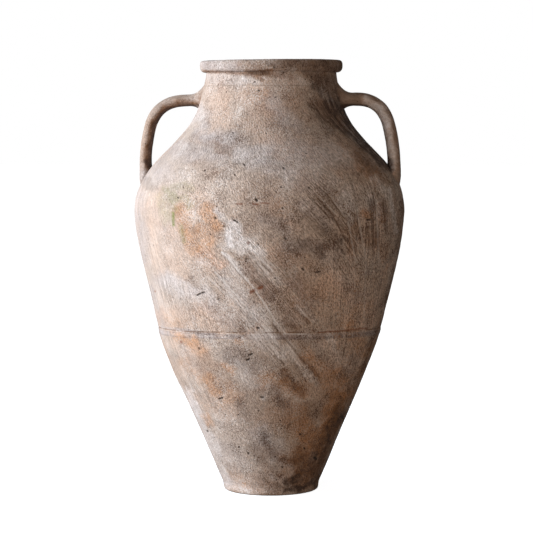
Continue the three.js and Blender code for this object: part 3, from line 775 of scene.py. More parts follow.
def score_lines(skin):
    """The scored line over the belt, the belt's proud band and the collar's lip."""
    line_half, band_half, lip_half = 1.8 * MM, 3.6 * MM, 2.2 * MM
    line_depth, band_proud, lip_proud = 0.45 * MM, 0.25 * MM, 0.5 * MM
    places = places_of(skin)
    height = places[:, 2]
    line = np.clip(1 - np.abs(height - SCORED_LINE) / line_half, 0, 1)
    band = np.clip(1.5 - np.abs(height - BELT_MIDDLE) / band_half, 0, 1)
    lip = np.clip(1 - np.abs(height - COLLAR_JOINT - 1 * MM) / lip_half, 0, 1)
    out = -line_depth * line + band_proud * band + lip_proud * lip
    spread = 1 + out / np.hypot(places[:, 0], places[:, 1])
    places[:, :2] *= spread[:, None]
    move_corners(skin, places)


def make_walls(skin):
    """The three storeys, each lapping the one over it on the inside."""
    lower = wall_storey(skin, "lower_wall_clay", BASE_TOP, BELT_LOW, BASE_TOP, BELT_LOW + WALL_LAP, 12)
    belly = wall_storey(skin, "belly_wall_clay", BELT_HIGH, GIRTH_JOINT, BELT_HIGH + WALL_LAP,
                        GIRTH_JOINT + WALL_LAP, 14)
    shoulder = wall_storey(skin, "shoulder_wall_clay", GIRTH_JOINT, COLLAR_JOINT, GIRTH_JOINT + WALL_LAP,
                           COLLAR_JOINT + WALL_LAP, 14)
    return lower, belly, shoulder


def make_belt(skin):
    piece = cut_storey(skin, "belt_luting_coil_slip", BELT_LOW, BELT_HIGH)
    bottom = (BELT_MIDDLE, wall_radius(BELT_MIDDLE) - 4 * MM)
    pull_inside(piece, [(BELT_HIGH, wall_radius(BELT_HIGH)), bottom])
    return piece


def make_collar(skin):
    piece = cut_storey(skin, "neck_collar_clay", COLLAR_JOINT, None)
    bottom = COLLAR_JOINT + WALL_LAP
    pull_inside(piece, [(RIM_SEAT, wall_radius(RIM_SEAT)), (RIM_SEAT, MOUTH_RADIUS), (bottom, MOUTH_RADIUS)])
    return piece


def make_base(skin):
    piece = cut_storey(skin, "base_slab_clay", None, BASE_TOP)
    top = BASE_TOP + SLAB_STEP
    inner = inside_radius(BASE_TOP) - 0.5 * MM
    top_edge = top_ring(piece)
    select_corners(piece, lambda corner: corner.index in top_edge)
    pull_ring([(BASE_TOP, wall_radius(BASE_TOP)), (BASE_TOP, inner), (top, inner), (top, inner / 2)])
    bpy.ops.mesh.edge_face_add()
    select_corners(piece, lambda corner: corner.is_boundary)
    pull_ring([(0, FOOT_EDGE * share) for share in (1, 0.9, 0.75, 0.6, 0.45, 0.3, 0.15, 0.05)])
    bpy.ops.mesh.edge_face_add()
    done()
    places = places_of(piece)
    places[:, 2] = np.maximum(places[:, 2], 0)
    move_corners(piece, places)
    clean_inside(piece)
    face_outwards(piece)
    soften_shading(piece)
    return piece


def make_ring(name, profile, corners, smoothing):
    """A ring turned through a closed profile of (height, radius) stations."""
    piece = turned_skin(name, profile, corners)
    select_corners(piece, lambda corner: corner.is_boundary)
    bpy.ops.mesh.bridge_edge_loops()
    done()
    face_outwards(piece)
    smooth_form(piece, smoothing)
    return piece


def make_rim():
    outer = RIM_RADIUS
    low, lip, high = RIM_SEAT, RIM_SEAT - 0.2 * MM, JAR_TOP + 1.2 * MM
    profile = (
        (low, MOUTH_RADIUS), (low, 94 * MM), (low, 99.5 * MM), (lip, 101.2 * MM), (lip + 0.2 * MM, outer - 5.4 * MM),
        (lip + 1.7 * MM, outer - 2.5 * MM), (lip + 4.6 * MM, outer - 0.7 * MM), (lip + 8.4 * MM, outer + 0.2 * MM),
        (high - 5 * MM, outer), (high - 2.2 * MM, outer - 0.9 * MM), (high - 0.4 * MM, outer - 2.8 * MM),
        (high, outer - 6 * MM), (high, outer - 11 * MM), (high - 0.3 * MM, MOUTH_RADIUS + 5.5 * MM),
        (high - 1.6 * MM, MOUTH_RADIUS + 2 * MM), (high - 4.5 * MM, MOUTH_RADIUS + 0.3 * MM),
        (high - 9 * MM, MOUTH_RADIUS),
    )
    piece = make_ring("rim_band_clay", profile, CORNERS, SMOOTHING)
    weather_surface(piece)
    places = places_of(piece)
    places[:, 2] += 0.5 * MM * (places @ np.array(TO_RIGHT)) / RIM_RADIUS
    move_corners(piece, places)
    mark_skin(piece)
    soften_shading(piece)
    return piece


def against_wall(height):
    """A station of a coil's back, just clear of the inside of the wall."""
    return height, inside_radius(height) - COIL_GAP


def make_inner_coils():
    """The coil in the corner over the slab and the one smoothed over the belt joint."""
    seat = BASE_TOP + 3.4 * MM
    leg = 14 * MM
    inner = inside_radius(seat) - COIL_GAP
    profile = (
        (seat, inner - leg), (seat, inner - leg / 2), (seat, inner), against_wall(seat + leg / 2),
        against_wall(seat + leg), (seat + leg * 0.55, inner - leg * 0.2), (seat + leg * 0.25, inner - leg * 0.5),
    )
    base = make_ring("base_inner_coil_clay", profile, COIL_CORNERS, SMOOTHING)
    low, high = (corner.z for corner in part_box("belt_inner_coil"))
    middle, half = (low + high) / 2, (high - low) / 2
    back = [against_wall(middle + half * share) for share in (-1, -0.5, 0, 0.5, 1)]
    front_heights = [middle + half * share for share in (0.6, 0.2, -0.2, -0.6)]
    front = [(height, inside_radius(height) - COIL_THICKNESS) for height in front_heights]
    belt = make_ring("belt_inner_coil_clay", (*back, *front), COIL_CORNERS, SMOOTHING)
    for piece in (base, belt):
        roughen(piece, "finger_marks", 2.2 * MM, noise_scale=0.02, noise_depth=1)
        soften_shading(piece)
    return base, belt


# Handle centre line in millimetres, as the strap was pulled: level out of the wall, round the elbow, down the leg
STRAP_WIDTH = 29 * MM
ARM_HEIGHT = 601.5 * MM
LOWER_ROOT = 487 * MM
ARM_LENGTH = 23 * MM
ELBOW_DROP = 44 * MM
LEG_LEAN = 6 * MM
ELBOW_REACH = 16 * MM
ROOT_DEPTH = 10 * MM
STRAP_CORNERS = 16
UPPER_PAD = 17 * MM
LOWER_PAD = 25 * MM
# How much the strap swells at its upper and lower root, in thickness and in width, and how sharply
UPPER_SWELL = (8.5 * MM, 5 * MM)
LOWER_SWELL = (1.4 * MM, 7 * MM)
SWELL_POWER = 2.2
UPPER_END_ABOVE = 590 * MM
LOWER_END_BELOW = 530 * MM


def bend(start, corner, end, steps):
    """Points along a curve that leaves start towards corner and reaches end from it."""
    shares = [i / steps for i in range(steps)]
    return [start * (1 - t) ** 2 + corner * 2 * t * (1 - t) + end * t * t for t in shares]


def handle_path(elbow_lift, reach):
    upper = Vector((wall_radius(ARM_HEIGHT), 0, ARM_HEIGHT))
    lower = Vector((wall_radius(LOWER_ROOT) + reach * 0.7, 0, LOWER_ROOT))
    arm_end = upper + Vector((ARM_LENGTH, 0, elbow_lift * 0.6))
    leg_top = Vector((lower.x + reach * 0.3 - LEG_LEAN, 0, ARM_HEIGHT - ELBOW_DROP))
    corner = Vector((lower.x + reach * 0.3 - ELBOW_REACH, 0, ARM_HEIGHT + LEG_LEAN / 6 + elbow_lift))
    along_leg = (leg_top - corner).normalized()
    leg_bend = leg_top + along_leg * (leg_top.z - lower.z) * 0.6
    root_bend = lower + Vector((0.5 * MM, 0, -26 * MM))
    root_end = lower + Vector((-20 * MM, 0, -46 * MM))
    inside = upper - Vector((ROOT_DEPTH, 0, 0))
    points = [inside.lerp(arm_end, i / 7) for i in range(7)]
    points += bend(arm_end, corner, leg_top, 9)
    points += bend(leg_top, leg_bend, lower, 8)
    points += bend(lower, root_bend, root_end, 7)
    return points + [root_end]


def root_flare(point):
    """How much the strap swells towards its roots: in thickness and in width."""
    upper = lower = 0
    if point.z > UPPER_END_ABOVE:
        upper = max(0, 1 - (point.x - wall_radius(ARM_HEIGHT)) / UPPER_PAD)
    if point.z < LOWER_END_BELOW:
        lower = min(1, max(0, 1 - (point.z - LOWER_ROOT) / LOWER_PAD))
    return [high * upper ** SWELL_POWER + low * lower ** SWELL_POWER for high, low in zip(UPPER_SWELL, LOWER_SWELL)]


def make_handle_skin(side, elbow_lift, reach, thickness):
    """The strap in one length from root to root: a ring of clay pulled along the centre line."""
    points = handle_path(elbow_lift, reach)
    tangents = [(after - before).normalized() for before, after in zip(points[:1] + points, points[1:] + points[-1:])]
    deselect()
    bpy.ops.mesh.primitive_circle_add(vertices=STRAP_CORNERS, radius=0.5, location=points[0],
                                      rotation=(0, math.pi / 2, 0))
    skin = bpy.context.object
    skin.name = f"{side}_handle_skin"
    bpy.ops.object.transform_apply(location=True, rotation=True)
    edit(skin)
    bpy.ops.mesh.select_all(action="SELECT")
    thick, wide = root_flare(points[0])
    size = Vector((1, STRAP_WIDTH + 2 * wide, thickness + 2 * thick))
    bpy.ops.transform.resize(value=size, center_override=points[0])
    heading = math.atan2(tangents[0].z, tangents[0].x)
    before = size
    for point, previous, tangent in zip(points[1:], points, tangents[1:]):
        bpy.ops.mesh.extrude_region_move(TRANSFORM_OT_translate={"value": point - previous})
        turn = math.atan2(tangent.z, tangent.x) - heading
        heading += turn
        if abs(turn) > 1e-6:
            bpy.ops.transform.rotate(value=turn, orient_axis="Y", center_override=point)
        thick, wide = root_flare(point)
        size = Vector((1, STRAP_WIDTH + 2 * wide, thickness + 2 * thick))
        bpy.ops.transform.resize(value=(size.z / before.z, size.y / before.y, size.z / before.z),
                                 center_override=point)
        before = size
    select_corners(skin, lambda corner: corner.is_boundary)
    bpy.ops.mesh.edge_face_add()
    done()
    face_outwards(skin)
    smooth_form(skin, SMOOTHING)
    return skin


def cut_handle(skin, name, planes):
    """A copy of the handle kept on the far side of each (point, normal) plane, with its cut ends closed."""
    activate(skin)
    bpy.ops.object.duplicate()
    piece = bpy.context.object
    piece.name = name
    edit(piece)
    for point, normal in planes:
        bpy.ops.mesh.select_all(action="SELECT")
        bpy.ops.mesh.bisect(plane_co=point, plane_no=normal, clear_inner=True, use_fill=True, threshold=1e-6)
    done()
    face_outwards(piece)
    soften_shading(piece)
    return piece


def make_handle(side, turn, elbow_lift, reach, thickness):
    skin = make_handle_skin(side, elbow_lift, reach, thickness)
    if turn:
        edit(skin)
        bpy.ops.mesh.select_all(action="SELECT")
        bpy.ops.transform.rotate(value=turn, orient_axis="Z", center_override=(0, 0, 0))
        done()
    weather_surface(skin)
    mark_skin(skin, HANDLE_STROKES)
    sign = -1 if turn else 1
    upper_seam = Vector((sign * (wall_radius(ARM_HEIGHT) + UPPER_PAD), 0, ARM_HEIGHT))
    lower_seam = Vector((sign * wall_radius(LOWER_ROOT), 0, LOWER_ROOT + LOWER_PAD))
    outwards = Vector((sign, 0, 0))
    strap = cut_handle(skin, f"{side}_handle_strap_clay", ((upper_seam, outwards), (lower_seam, UP)))
    upper = cut_handle(skin, f"{side}_handle_upper_pad_clay", ((upper_seam, -outwards), (lower_seam, UP)))
    lower = cut_handle(skin, f"{side}_handle_lower_pad_clay", ((lower_seam, -UP),))
    bpy.data.objects.remove(skin)
    return strap, upper, lower


# Finishes

def feed(tree, socket, value):
    """Links a socket to another one, or sets it to a value."""
    if isinstance(value, bpy.types.NodeSocket):
        tree.links.new(value, socket)
    else:
        socket.default_value = value


def add(tree, kind, inputs=(), **settings):
    """A shader node with its settings, its inputs set or linked."""
    node = tree.nodes.new(kind)
    for key, value in settings.items():
        setattr(node, key, value)
    for name, value in dict(inputs).items():
        feed(tree, node.inputs[name], value)
    return node


def wash(tree, under, layer, cover, way="MIX"):
    """One colour laid over another as far as cover says."""
    mix = add(tree, "ShaderNodeMix", {0: cover, 6: under, 7: layer}, data_type="RGBA", blend_type=way)
    return mix.outputs[2]


def sums(tree, way, first, second=0.5, clamp=False):
    node = add(tree, "ShaderNodeMath", {0: first, 1: second}, operation=way)
    node.use_clamp = clamp
    return node.outputs[0]


def ramp(tree, value, low, high, to_low=0.0, to_high=1.0):
    node = add(tree, "ShaderNodeMapRange", {"Value": value, "From Min": low, "From Max": high, "To Min": to_low,
                                            "To Max": to_high}, interpolation_type="SMOOTHSTEP")
    return node.outputs[0]


def noise(tree, vector, scale, detail=3.0, rough=0.55, twist=0.0):
    node = add(tree, "ShaderNodeTexNoise", {"Vector": vector, "Scale": scale, "Detail": detail, "Roughness": rough,
                                            "Distortion": twist})
    return node.outputs[0]


def new_group(name, inputs, outputs):
    """A node group with its sockets: name, kind and value of each input, name and kind of each output."""
    tree = bpy.data.node_groups.new(name, "ShaderNodeTree")
    for label, kind, value in inputs:
        socket = tree.interface.new_socket(label, in_out="INPUT", socket_type="NodeSocket" + kind)
        if value is not None:
            socket.default_value = value
    for label, kind in outputs:
        tree.interface.new_socket(label, in_out="OUTPUT", socket_type="NodeSocket" + kind)
    return tree, tree.nodes.new("NodeGroupInput").outputs, tree.nodes.new("NodeGroupOutput").inputs


def use_group(tree, group, inputs):
    return add(tree, "ShaderNodeGroup", inputs, node_tree=group).outputs


def painted(tree, name):
    """What a piece carries of a named attribute."""
    return add(tree, "ShaderNodeAttribute", attribute_name=name, attribute_type="GEOMETRY").outputs["Fac"]


def shifted(tree, vector, place):
    return add(tree, "ShaderNodeMapping", {"Vector": vector, "Location": place}).outputs[0]


def round_jar_group():
    """Places measured round the jar and up it."""
    tree, given, out = new_group("round_jar", [("Vector", "Vector", None)], [("Round", "Vector")])
    axes = add(tree, "ShaderNodeSeparateXYZ", {0: given["Vector"]}).outputs
    heading = sums(tree, "ARCTAN2", axes["X"], sums(tree, "MULTIPLY", axes["Y"], -1.0))
    place = add(tree, "ShaderNodeCombineXYZ", {"X": sums(tree, "MULTIPLY", heading, WRAP_RADIUS), "Y": axes["Z"]})
    tree.links.new(place.outputs[0], out["Round"])
    return tree


def ring_lines_group():
    """The scored line over the belt, the two edges of the belt's band and the wheel line on the neck."""
    tree, given, out = new_group("ring_lines", [("Round", "Vector", None)],
                                 [("Score", "Float"), ("Edge", "Float"), ("Wheel", "Float")])
    wobble = sums(tree, "MULTIPLY", sums(tree, "SUBTRACT", noise(tree, given["Round"], 14, 2), 0.5), 2.4 * MM)
    height = sums(tree, "ADD", painted(tree, "level"), wobble)
    shown = ramp(tree, noise(tree, given["Round"], 45, 4, 0.7), 0.36, 0.56, 0.1, 1.0)
    for label, level, width in (("Score", SCORED_LINE, 1.5 * MM), ("Wheel", NECK_LINE, 1.4 * MM)):
        gap = sums(tree, "ABSOLUTE", sums(tree, "SUBTRACT", height, level))
        line = ramp(tree, gap, width * 0.3, width, 1.0, 0.0)
        tree.links.new(sums(tree, "MULTIPLY", line, shown), out[label])
    half = (BELT_HIGH - BELT_LOW) / 2
    gap = sums(tree, "ABSOLUTE", sums(tree, "SUBTRACT", height, BELT_MIDDLE))
    gap = sums(tree, "ABSOLUTE", sums(tree, "SUBTRACT", gap, half - 0.4 * MM))
    tree.links.new(sums(tree, "MULTIPLY", ramp(tree, gap, 0.4 * MM, 1.5 * MM, 1.0, 0.0), shown), out["Edge"])
    return tree


def grit_group():
    """Grit of the clay: fine grain about 0.5, pepper and salt specks in drifts, pinholes, and ragged patches."""
    tree, given, out = new_group("grit_speckle", [("Vector", "Vector", None), ("Round", "Vector", None)],
                                 [("Grain", "Float"), ("Pepper", "Float"), ("Salt", "Float"), ("Rusty", "Float"),
                                  ("Pinholes", "Float"), ("Ragged", "Float"), ("Height", "Float")])
    vector = given["Vector"]
    along = add(tree, "ShaderNodeMapping", {"Vector": given["Round"], "Rotation": (0, 0, math.radians(62))}).outputs[0]
    along = add(tree, "ShaderNodeMapping", {"Vector": along, "Scale": (0.3, 1, 1)}).outputs[0]
    grain = sums(tree, "ADD", sums(tree, "MULTIPLY", noise(tree, vector, 640, 1, 0.5), 0.4),
                 sums(tree, "MULTIPLY", noise(tree, along, 620, 2, 0.5), 0.6))
    specks = []
    for place, scale, drift in (((0, 0, 0), 560, 30), ((1.3, 0.7, 2.1), 600, 24), ((4.2, 2.6, 0.9), 460, 27)):
        aside = shifted(tree, vector, place)
        crowd = sums(tree, "SUBTRACT", noise(tree, aside, drift, 4, 0.65), 0.5)
        specks.append(ramp(tree, sums(tree, "ADD", noise(tree, aside, scale, 1, 0.6), crowd), 0.6, 0.68))
    cells = add(tree, "ShaderNodeTexVoronoi", {"Vector": vector, "Scale": 95.0})
    chosen = add(tree, "ShaderNodeSeparateXYZ", {0: cells.outputs["Color"]}).outputs["X"]
    holes = sums(tree, "MULTIPLY", ramp(tree, cells.outputs["Distance"], 0.06, 0.14, 1.0, 0.0),
                 ramp(tree, chosen, 0.5, 0.78))
    ragged = ramp(tree, noise(tree, vector, 64, 7, 0.78, 0.3), 0.36, 0.64, -1.0, 1.0)
    links = tree.links
    links.new(grain, out["Grain"])
    links.new(specks[0], out["Pepper"])
    links.new(specks[1], out["Salt"])
    links.new(specks[2], out["Rusty"])
    links.new(holes, out["Pinholes"])
    links.new(ragged, out["Ragged"])
    low = sums(tree, "ADD", sums(tree, "MULTIPLY", specks[0], 0.25), sums(tree, "MULTIPLY", holes, 0.7))
    links.new(sums(tree, "SUBTRACT", grain, low), out["Height"])
    return tree


def mottle_group():
    """Firing and weather mottle: one clay with warm, grey and pale clouds in it."""
    tree, given, out = new_group("clay_mottle", [
        ("Vector", "Vector", None), ("Clay", "Color", (0.475, 0.405, 0.36, 1)),
        ("Warm", "Color", (0.49, 0.355, 0.28, 1)), ("Grey", "Color", (0.39, 0.345, 0.33, 1)),
        ("Pale", "Color", (0.62, 0.565, 0.535, 1)),
        ("Patches", "Float", 0.6)], [("Color", "Color")])
    vector, colour = given["Vector"], given["Clay"]
    clouds = (("Warm", (0, 0, 0), 13, 0.46, 0.7), ("Grey", (3.1, 1.7, 0.4), 17, 0.48, 0.72),
              ("Pale", (7.7, 4.2, 2.9), 34, 0.5, 0.76))
    for label, place, scale, low, high in clouds:
        cover = ramp(tree, noise(tree, shifted(tree, vector, place), scale, 6, 0.6, 0.35), low, high)
        colour = wash(tree, colour, given[label], sums(tree, "MULTIPLY", cover, given["Patches"]))
    tree.links.new(colour, out["Color"])
    return tree


def drag_group():
    """Drag marks where a piece carries them, fine hairs and broad bands, from -1 for dark to 1 for pale."""
    tree, given, out = new_group("drag_marks", [("Round", "Vector", None), ("Everywhere", "Float", 0.2)],
                                 [("Hair", "Float"), ("Band", "Float")])
    for label, scale, long in (("Hair", 400, 0.035), ("Band", 120, 0.07)):
        marks = None
        for name, turn in (("slant", math.radians(51)), ("upright", math.radians(84))):
            along = add(tree, "ShaderNodeMapping", {"Vector": given["Round"], "Rotation": (0, 0, turn)}).outputs[0]
            along = add(tree, "ShaderNodeMapping", {"Vector": along, "Scale": (long, 1, 1)}).outputs[0]
            mark = ramp(tree, noise(tree, along, scale, 2, 0.6), 0.34, 0.66, -1.0, 1.0)
            mark = sums(tree, "MULTIPLY", mark, sums(tree, "ADD", painted(tree, name), given["Everywhere"]))
            marks = mark if marks is None else sums(tree, "ADD", marks, mark)
        tree.links.new(marks, out[label])
    return tree


# Colours of the stains and of the painted shade and light, how far each may cover the clay, and how much the drag marks
# break it up
STAIN_AND_SHADING_TINTS = (
    ("peach_and_light", (0.6, 0.445, 0.36, 1), 0.9, 0.0),
    ("ochre", (0.52, 0.29, 0.16, 1), 0.95, -0.1),
    ("ash", (0.43, 0.395, 0.4, 1), 0.9, 0.1),
    ("umber_and_shade", (0.22, 0.12, 0.065, 1), 0.95, -0.25),
    ("lime_and_light", (0.76, 0.76, 0.79, 1), 0.95, 0.25),
    ("soot_and_shade", (0.075, 0.055, 0.048, 1), 0.9, -0.3),
    ("moss", (0.17, 0.195, 0.07, 1), 0.9, 0.0),
)


def stain_and_shading_group():
    """Lays the stains and painted shade and light that a piece carries as attributes over a colour, in ragged patches
    and along the drag marks.
    """
    tree, given, out = new_group("stain_and_shading_wash", [("Color", "Color", (0.5, 0.5, 0.5, 1)), ("Ragged", "Float", 0.0),
                                                ("Drag", "Float", 0.0)], [("Color", "Color")])
    colour = given["Color"]
    ragged = sums(tree, "ADD", sums(tree, "MULTIPLY", given["Ragged"], 0.36), 1.0)
    for name, tint, cover, streak in STAIN_AND_SHADING_TINTS:
        broken = sums(tree, "ADD", ragged, sums(tree, "MULTIPLY", given["Drag"], streak))
        broken = sums(tree, "MAXIMUM", broken, 0.1)
        cover = sums(tree, "MULTIPLY", sums(tree, "MULTIPLY", painted(tree, name), broken), cover, clamp=True)
        colour = wash(tree, colour, tint, cover)
    tree.links.new(colour, out["Color"])
    return tree


CLAY_SHEEN = 0.03
RELIEF_DEPTH = 0.0016
# Colours of the thin marks
MARK_TINTS = (
    ("score", (0.15, 0.1, 0.075, 1)),
    ("scratch", (0.78, 0.77, 0.78, 1)),
    ("rust", (0.2, 0.075, 0.04, 1)),
    ("pit_and_shade", (0.032, 0.025, 0.02, 1)),
)


def clay(name, groups, colours, patches, marked=True, pepper=0.42, bump=0.8, worn=None):
    """A fired clay finish: mottle, stains, painted shade and light, drag marks, grit and thin marks, rough all over."""
    material = bpy.data.materials.new(name)
    material.use_nodes = True
    tree = material.node_tree
    shader = tree.nodes["Principled BSDF"]
    vector = add(tree, "ShaderNodeTexCoord").outputs["Object"]
    place = use_group(tree, groups["round"], {"Vector": vector})
    grit = use_group(tree, groups["grit"], {"Vector": vector, "Round": place["Round"]})
    drag = use_group(tree, groups["drag"], {"Round": place["Round"]})
    colour = use_group(tree, groups["mottle"], {"Vector": vector, "Patches": patches, **colours})["Color"]
    across = add(tree, "ShaderNodeSeparateXYZ", {0: vector}).outputs["X"]
    if marked:
        both = sums(tree, "ADD", drag["Hair"], drag["Band"])
        colour = use_group(tree, groups["stains_and_shading"], {"Color": colour, "Ragged": grit["Ragged"], "Drag": both})["Color"]
    if worn is None:
        worn = sums(tree, "ADD", ramp(tree, across, -0.2, -0.04, 0.2, 1.15), ramp(tree, across, 0.04, 0.18, 0.0, 0.6))
    tone = sums(tree, "ADD", sums(tree, "MULTIPLY", drag["Hair"], 0.2), sums(tree, "MULTIPLY", drag["Band"], 0.1))
    tone = sums(tree, "ADD", tone, sums(tree, "MULTIPLY", grit["Ragged"], 0.03))
    tone = sums(tree, "ADD", tone, sums(tree, "MULTIPLY", ramp(tree, grit["Grain"], 0.38, 0.62, -0.3, 0.3), worn))
    colour = wash(tree, colour, sums(tree, "ADD", tone, 1.0), 1.0, "MULTIPLY")
    share = {"Pepper": 1.0, "Salt": 1.0, "Rusty": 0.3, "Pinholes": 1.0}
    if marked:
        # Umber and soot hold dirt and painted shade; more dark specks lie where they do
        dirt_and_shade = sums(tree, "ADD", painted(tree, "umber_and_shade"), painted(tree, "soot_and_shade"))
        # Peach and ochre hold tan and iron stain, and painted light on the right handle's front; rusty specks follow
        # them
        iron_and_light = sums(tree, "ADD", painted(tree, "peach_and_light"), painted(tree, "ochre"))
        bare = sums(tree, "SUBTRACT", 1.0, painted(tree, "lime_and_light"), clamp=True)
        share["Pepper"] = sums(tree, "MULTIPLY", sums(tree, "ADD", sums(tree, "MULTIPLY", dirt_and_shade, 3.5), 1.0), bare)
        share["Salt"] = sums(tree, "SUBTRACT", ramp(tree, across, 0.02, 0.14, 1.0, 0.35), dirt_and_shade, clamp=True)
        share["Rusty"] = sums(tree, "ADD", sums(tree, "MULTIPLY", iron_and_light, 0.6), 0.15, clamp=True)
    specks = (((0.14, 0.095, 0.075, 1), "Pepper", pepper), ((0.5, 0.27, 0.14, 1), "Rusty", 0.5),
              ((0.78, 0.75, 0.74, 1), "Salt", 0.55), ((0.07, 0.055, 0.05, 1), "Pinholes", 0.9))
    for tint, label, strength in specks:
        cover = sums(tree, "MULTIPLY", sums(tree, "MULTIPLY", grit[label], strength), worn)
        cover = sums(tree, "MULTIPLY", cover, share[label], clamp=True)
        colour = wash(tree, colour, tint, cover)
    if marked:
        rings = use_group(tree, groups["rings"], {"Round": place["Round"]})
        marks = [((0.2, 0.13, 0.09, 1), rings["Score"], 0.75), ((0.22, 0.18, 0.17, 1), rings["Edge"], 0.35),
                 ((0.3, 0.24, 0.2, 1), rings["Wheel"], 0.45)]
        marks += [(tint, painted(tree, name), 0.9) for name, tint in MARK_TINTS]
        for tint, cover, strength in marks:
            colour = wash(tree, colour, tint, sums(tree, "MULTIPLY", cover, strength))
    tree.links.new(colour, shader.inputs["Base Color"])
    shader.inputs["Specular IOR Level"].default_value = CLAY_SHEEN
    tree.links.new(ramp(tree, grit["Grain"], 0.3, 0.7, 0.96, 0.8), shader.inputs["Roughness"])
    height = sums(tree, "ADD", grit["Height"], sums(tree, "MULTIPLY", drag["Hair"], 0.25))
    if marked:
        for name, depth in (("pit_and_shade", 1.2), ("score", 0.6)):
            height = sums(tree, "SUBTRACT", height, sums(tree, "MULTIPLY", painted(tree, name), depth))
    relief = add(tree, "ShaderNodeBump", {"Height": height, "Strength": bump, "Distance": RELIEF_DEPTH})
    tree.links.new(relief.outputs[0], shader.inputs["Normal"])
    return material


def clay_finishes():
    groups = {"round": round_jar_group(), "grit": grit_group(), "mottle": mottle_group(), "drag": drag_group(),
              "stains_and_shading": stain_and_shading_group(), "rings": ring_lines_group()}
    dull = {"Clay": (0.31, 0.245, 0.205, 1), "Warm": (0.3, 0.2, 0.145, 1), "Grey": (0.28, 0.24, 0.22, 1),
            "Pale": (0.46, 0.4, 0.36, 1)}
    handle = {"Clay": (0.38, 0.305, 0.26, 1), "Warm": (0.37, 0.28, 0.225, 1), "Grey": (0.28, 0.24, 0.22, 1),
              "Pale": (0.5, 0.42, 0.37, 1)}
    rim = {"Clay": (0.4, 0.335, 0.295, 1), "Warm": (0.37, 0.27, 0.21, 1), "Grey": (0.36, 0.325, 0.31, 1),
           "Pale": (0.5, 0.46, 0.43, 1)}
    slip = {"Clay": (0.4, 0.355, 0.345, 1), "Warm": (0.38, 0.31, 0.28, 1), "Grey": (0.3, 0.265, 0.26, 1),
            "Pale": (0.5, 0.465, 0.47, 1)}
    return {
        "body_clay": clay("body_clay", groups, {}, 0.5),
        "foot_clay": clay("foot_clay", groups, {"Clay": (0.44, 0.365, 0.315, 1)}, 0.7),
        "rim_clay": clay("rim_clay", groups, rim, 0.7),
        "handle_clay": clay("handle_clay", groups, handle, 0.6, pepper=0.3, worn=0.55),
        "belt_slip": clay("belt_slip", groups, slip, 0.7),
        "inner_clay": clay("inner_clay", groups, dull, 0.6, marked=False),
    }


def dress(piece, node, slot, finishes):
    piece.data.materials.clear()
    piece.data.materials.append(finishes[slot])
    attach(piece, "root")
    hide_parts(node)


# Floor, light and camera
FLOOR_SIDE = 40
FLOOR_GAP = 0.1 * MM
ROOM_LIGHT = 0.115


def add_light(name, direction, distance, aim, size, power, colour):
    deselect()
    bpy.ops.object.light_add(type="AREA", location=aim + direction.normalized() * distance)
    lamp = bpy.context.object
    lamp.name = name
    lamp.rotation_euler = direction.to_track_quat("Z", "Y").to_euler()
    lamp.data.shape = "RECTANGLE"
    lamp.data.size, lamp.data.size_y = size
    lamp.data.energy = power
    lamp.data.color = colour


def seen_directly(tree):
    """1 for the rays that show the background itself, straight, mirrored or through."""
    path = add(tree, "ShaderNodeLightPath").outputs
    either = sums(tree, "MAXIMUM", path["Is Camera Ray"], path["Is Glossy Ray"])
    return sums(tree, "MAXIMUM", either, path["Is Transmission Ray"])


def set_stage():
    deselect()
    bpy.ops.mesh.primitive_plane_add(size=FLOOR_SIDE, location=(0, 0, -FLOOR_GAP))
    floor = bpy.context.object
    floor.name = "floor"
    material = bpy.data.materials.new("pale_floor")
    material.use_nodes = True
    tree = material.node_tree
    nodes, links = tree.nodes, tree.links
    shader = nodes["Principled BSDF"]
    shader.inputs["Base Color"].default_value = (0.2, 0.15, 0.11, 1)
    shader.inputs["Roughness"].default_value = 1
    shader.inputs["Specular IOR Level"].default_value = 0
    pale = nodes.new("ShaderNodeBsdfDiffuse")
    pale.inputs["Color"].default_value = (0.58, 0.7, 0.84, 1)
    away = add(tree, "ShaderNodeVectorMath", {0: add(tree, "ShaderNodeTexCoord").outputs["Object"]}, operation="LENGTH")
    glow = add(tree, "ShaderNodeEmission", {"Strength": ramp(tree, away.outputs["Value"], 0.25, 0.8, 0.93, 1.0)})
    both = add(tree, "ShaderNodeAddShader", {0: pale.outputs[0], 1: glow.outputs[0]})
    choose = add(tree, "ShaderNodeMixShader", {0: seen_directly(tree), 1: shader.outputs[0], 2: both.outputs[0]})
    links.new(choose.outputs[0], nodes["Material Output"].inputs[0])
    floor.data.materials.append(material)

    world = bpy.data.worlds.new("studio")
    bpy.context.scene.world = world
    world.use_nodes = True
    nodes, links = world.node_tree.nodes, world.node_tree.links
    room = nodes["Background"]
    room.inputs["Color"].default_value = (1, 0.84, 0.7, 1)
    room.inputs["Strength"].default_value = ROOM_LIGHT
    backdrop = nodes.new("ShaderNodeBackground")
    backdrop.inputs["Color"].default_value = (1, 1, 1, 1)
    backdrop.inputs["Strength"].default_value = 1
    choose = add(world.node_tree, "ShaderNodeMixShader", {0: seen_directly(world.node_tree), 1: room.outputs[0],
                                                          2: backdrop.outputs[0]})
    links.new(choose.outputs[0], nodes["World Output"].inputs[0])


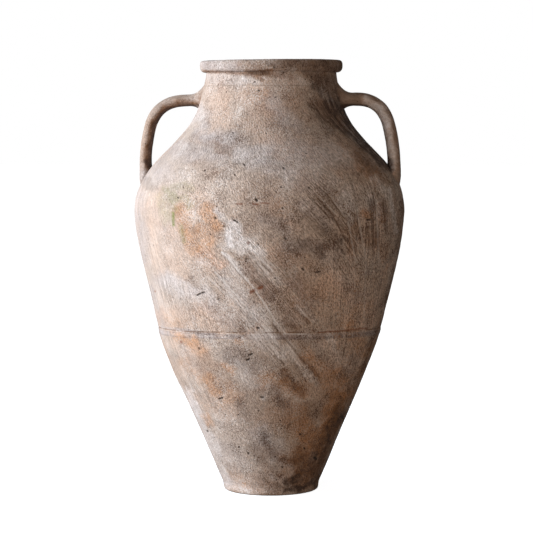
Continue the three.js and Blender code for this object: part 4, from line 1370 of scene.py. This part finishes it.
def set_lights():
    """A window low on the left, and a wall on the camera's side that throws back a little warm light."""
    aim = Vector((0, 0, 0.34))
    side = math.radians(77.5)
    left = TO_CAMERA * math.cos(side) - TO_RIGHT * math.sin(side) + UP * 0.25
    add_light("window", left, distance=2.2, aim=aim, size=(1.5, 1.7), power=90, colour=(0.98, 1, 1.03))
    side = math.radians(6)
    ahead = TO_CAMERA * math.cos(side) + TO_RIGHT * math.sin(side) + UP * 0.06
    add_light("warm_wall", ahead, distance=1.6, aim=aim, size=(1.0, 0.8), power=6.4, colour=(1, 0.77, 0.61))


def set_camera():
    deselect()
    bpy.ops.object.camera_add(location=camera_eye())
    camera = bpy.context.object
    camera.rotation_euler = camera_look().to_track_quat("-Z", "Y").to_euler()
    camera.data.sensor_width = SENSOR_WIDTH
    camera.data.lens = FOCAL_PIXELS / PHOTO_SIDE * SENSOR_WIDTH
    camera.data.clip_end = 100
    bpy.context.scene.camera = camera


set_camera()
set_stage()
set_lights()

finishes = clay_finishes()
body_skin = make_body()
lower_wall, belly_wall, shoulder_wall = make_walls(body_skin)
dress(settle(lower_wall), "lower_wall", "body_clay", finishes)
dress(settle(belly_wall), "belly_wall", "body_clay", finishes)
dress(settle(shoulder_wall), "shoulder_wall", "body_clay", finishes)
dress(settle(make_belt(body_skin)), "belt_luting_coil", "belt_slip", finishes)
dress(settle(make_collar(body_skin)), "neck_collar", "body_clay", finishes)
dress(make_base(body_skin), "base_slab", "foot_clay", finishes)
bpy.data.objects.remove(body_skin)
dress(make_rim(), "rim_band", "rim_clay", finishes)
for coil, node in zip(make_inner_coils(), ("base_inner_coil", "belt_inner_coil")):
    dress(settle(coil), node, "inner_clay", finishes)
for side, turn, *form in (("right", 0, 1 * MM, -2.6 * MM, 20.6 * MM), ("left", math.pi, -2 * MM, 3 * MM, 19 * MM)):
    for piece, part in zip(make_handle(side, turn, *form), ("strap", "upper_pad", "lower_pad")):
        dress(piece, f"{side}_handle_{part}", "handle_clay", finishes)

bpy.context.scene.view_settings.view_transform = "Standard"
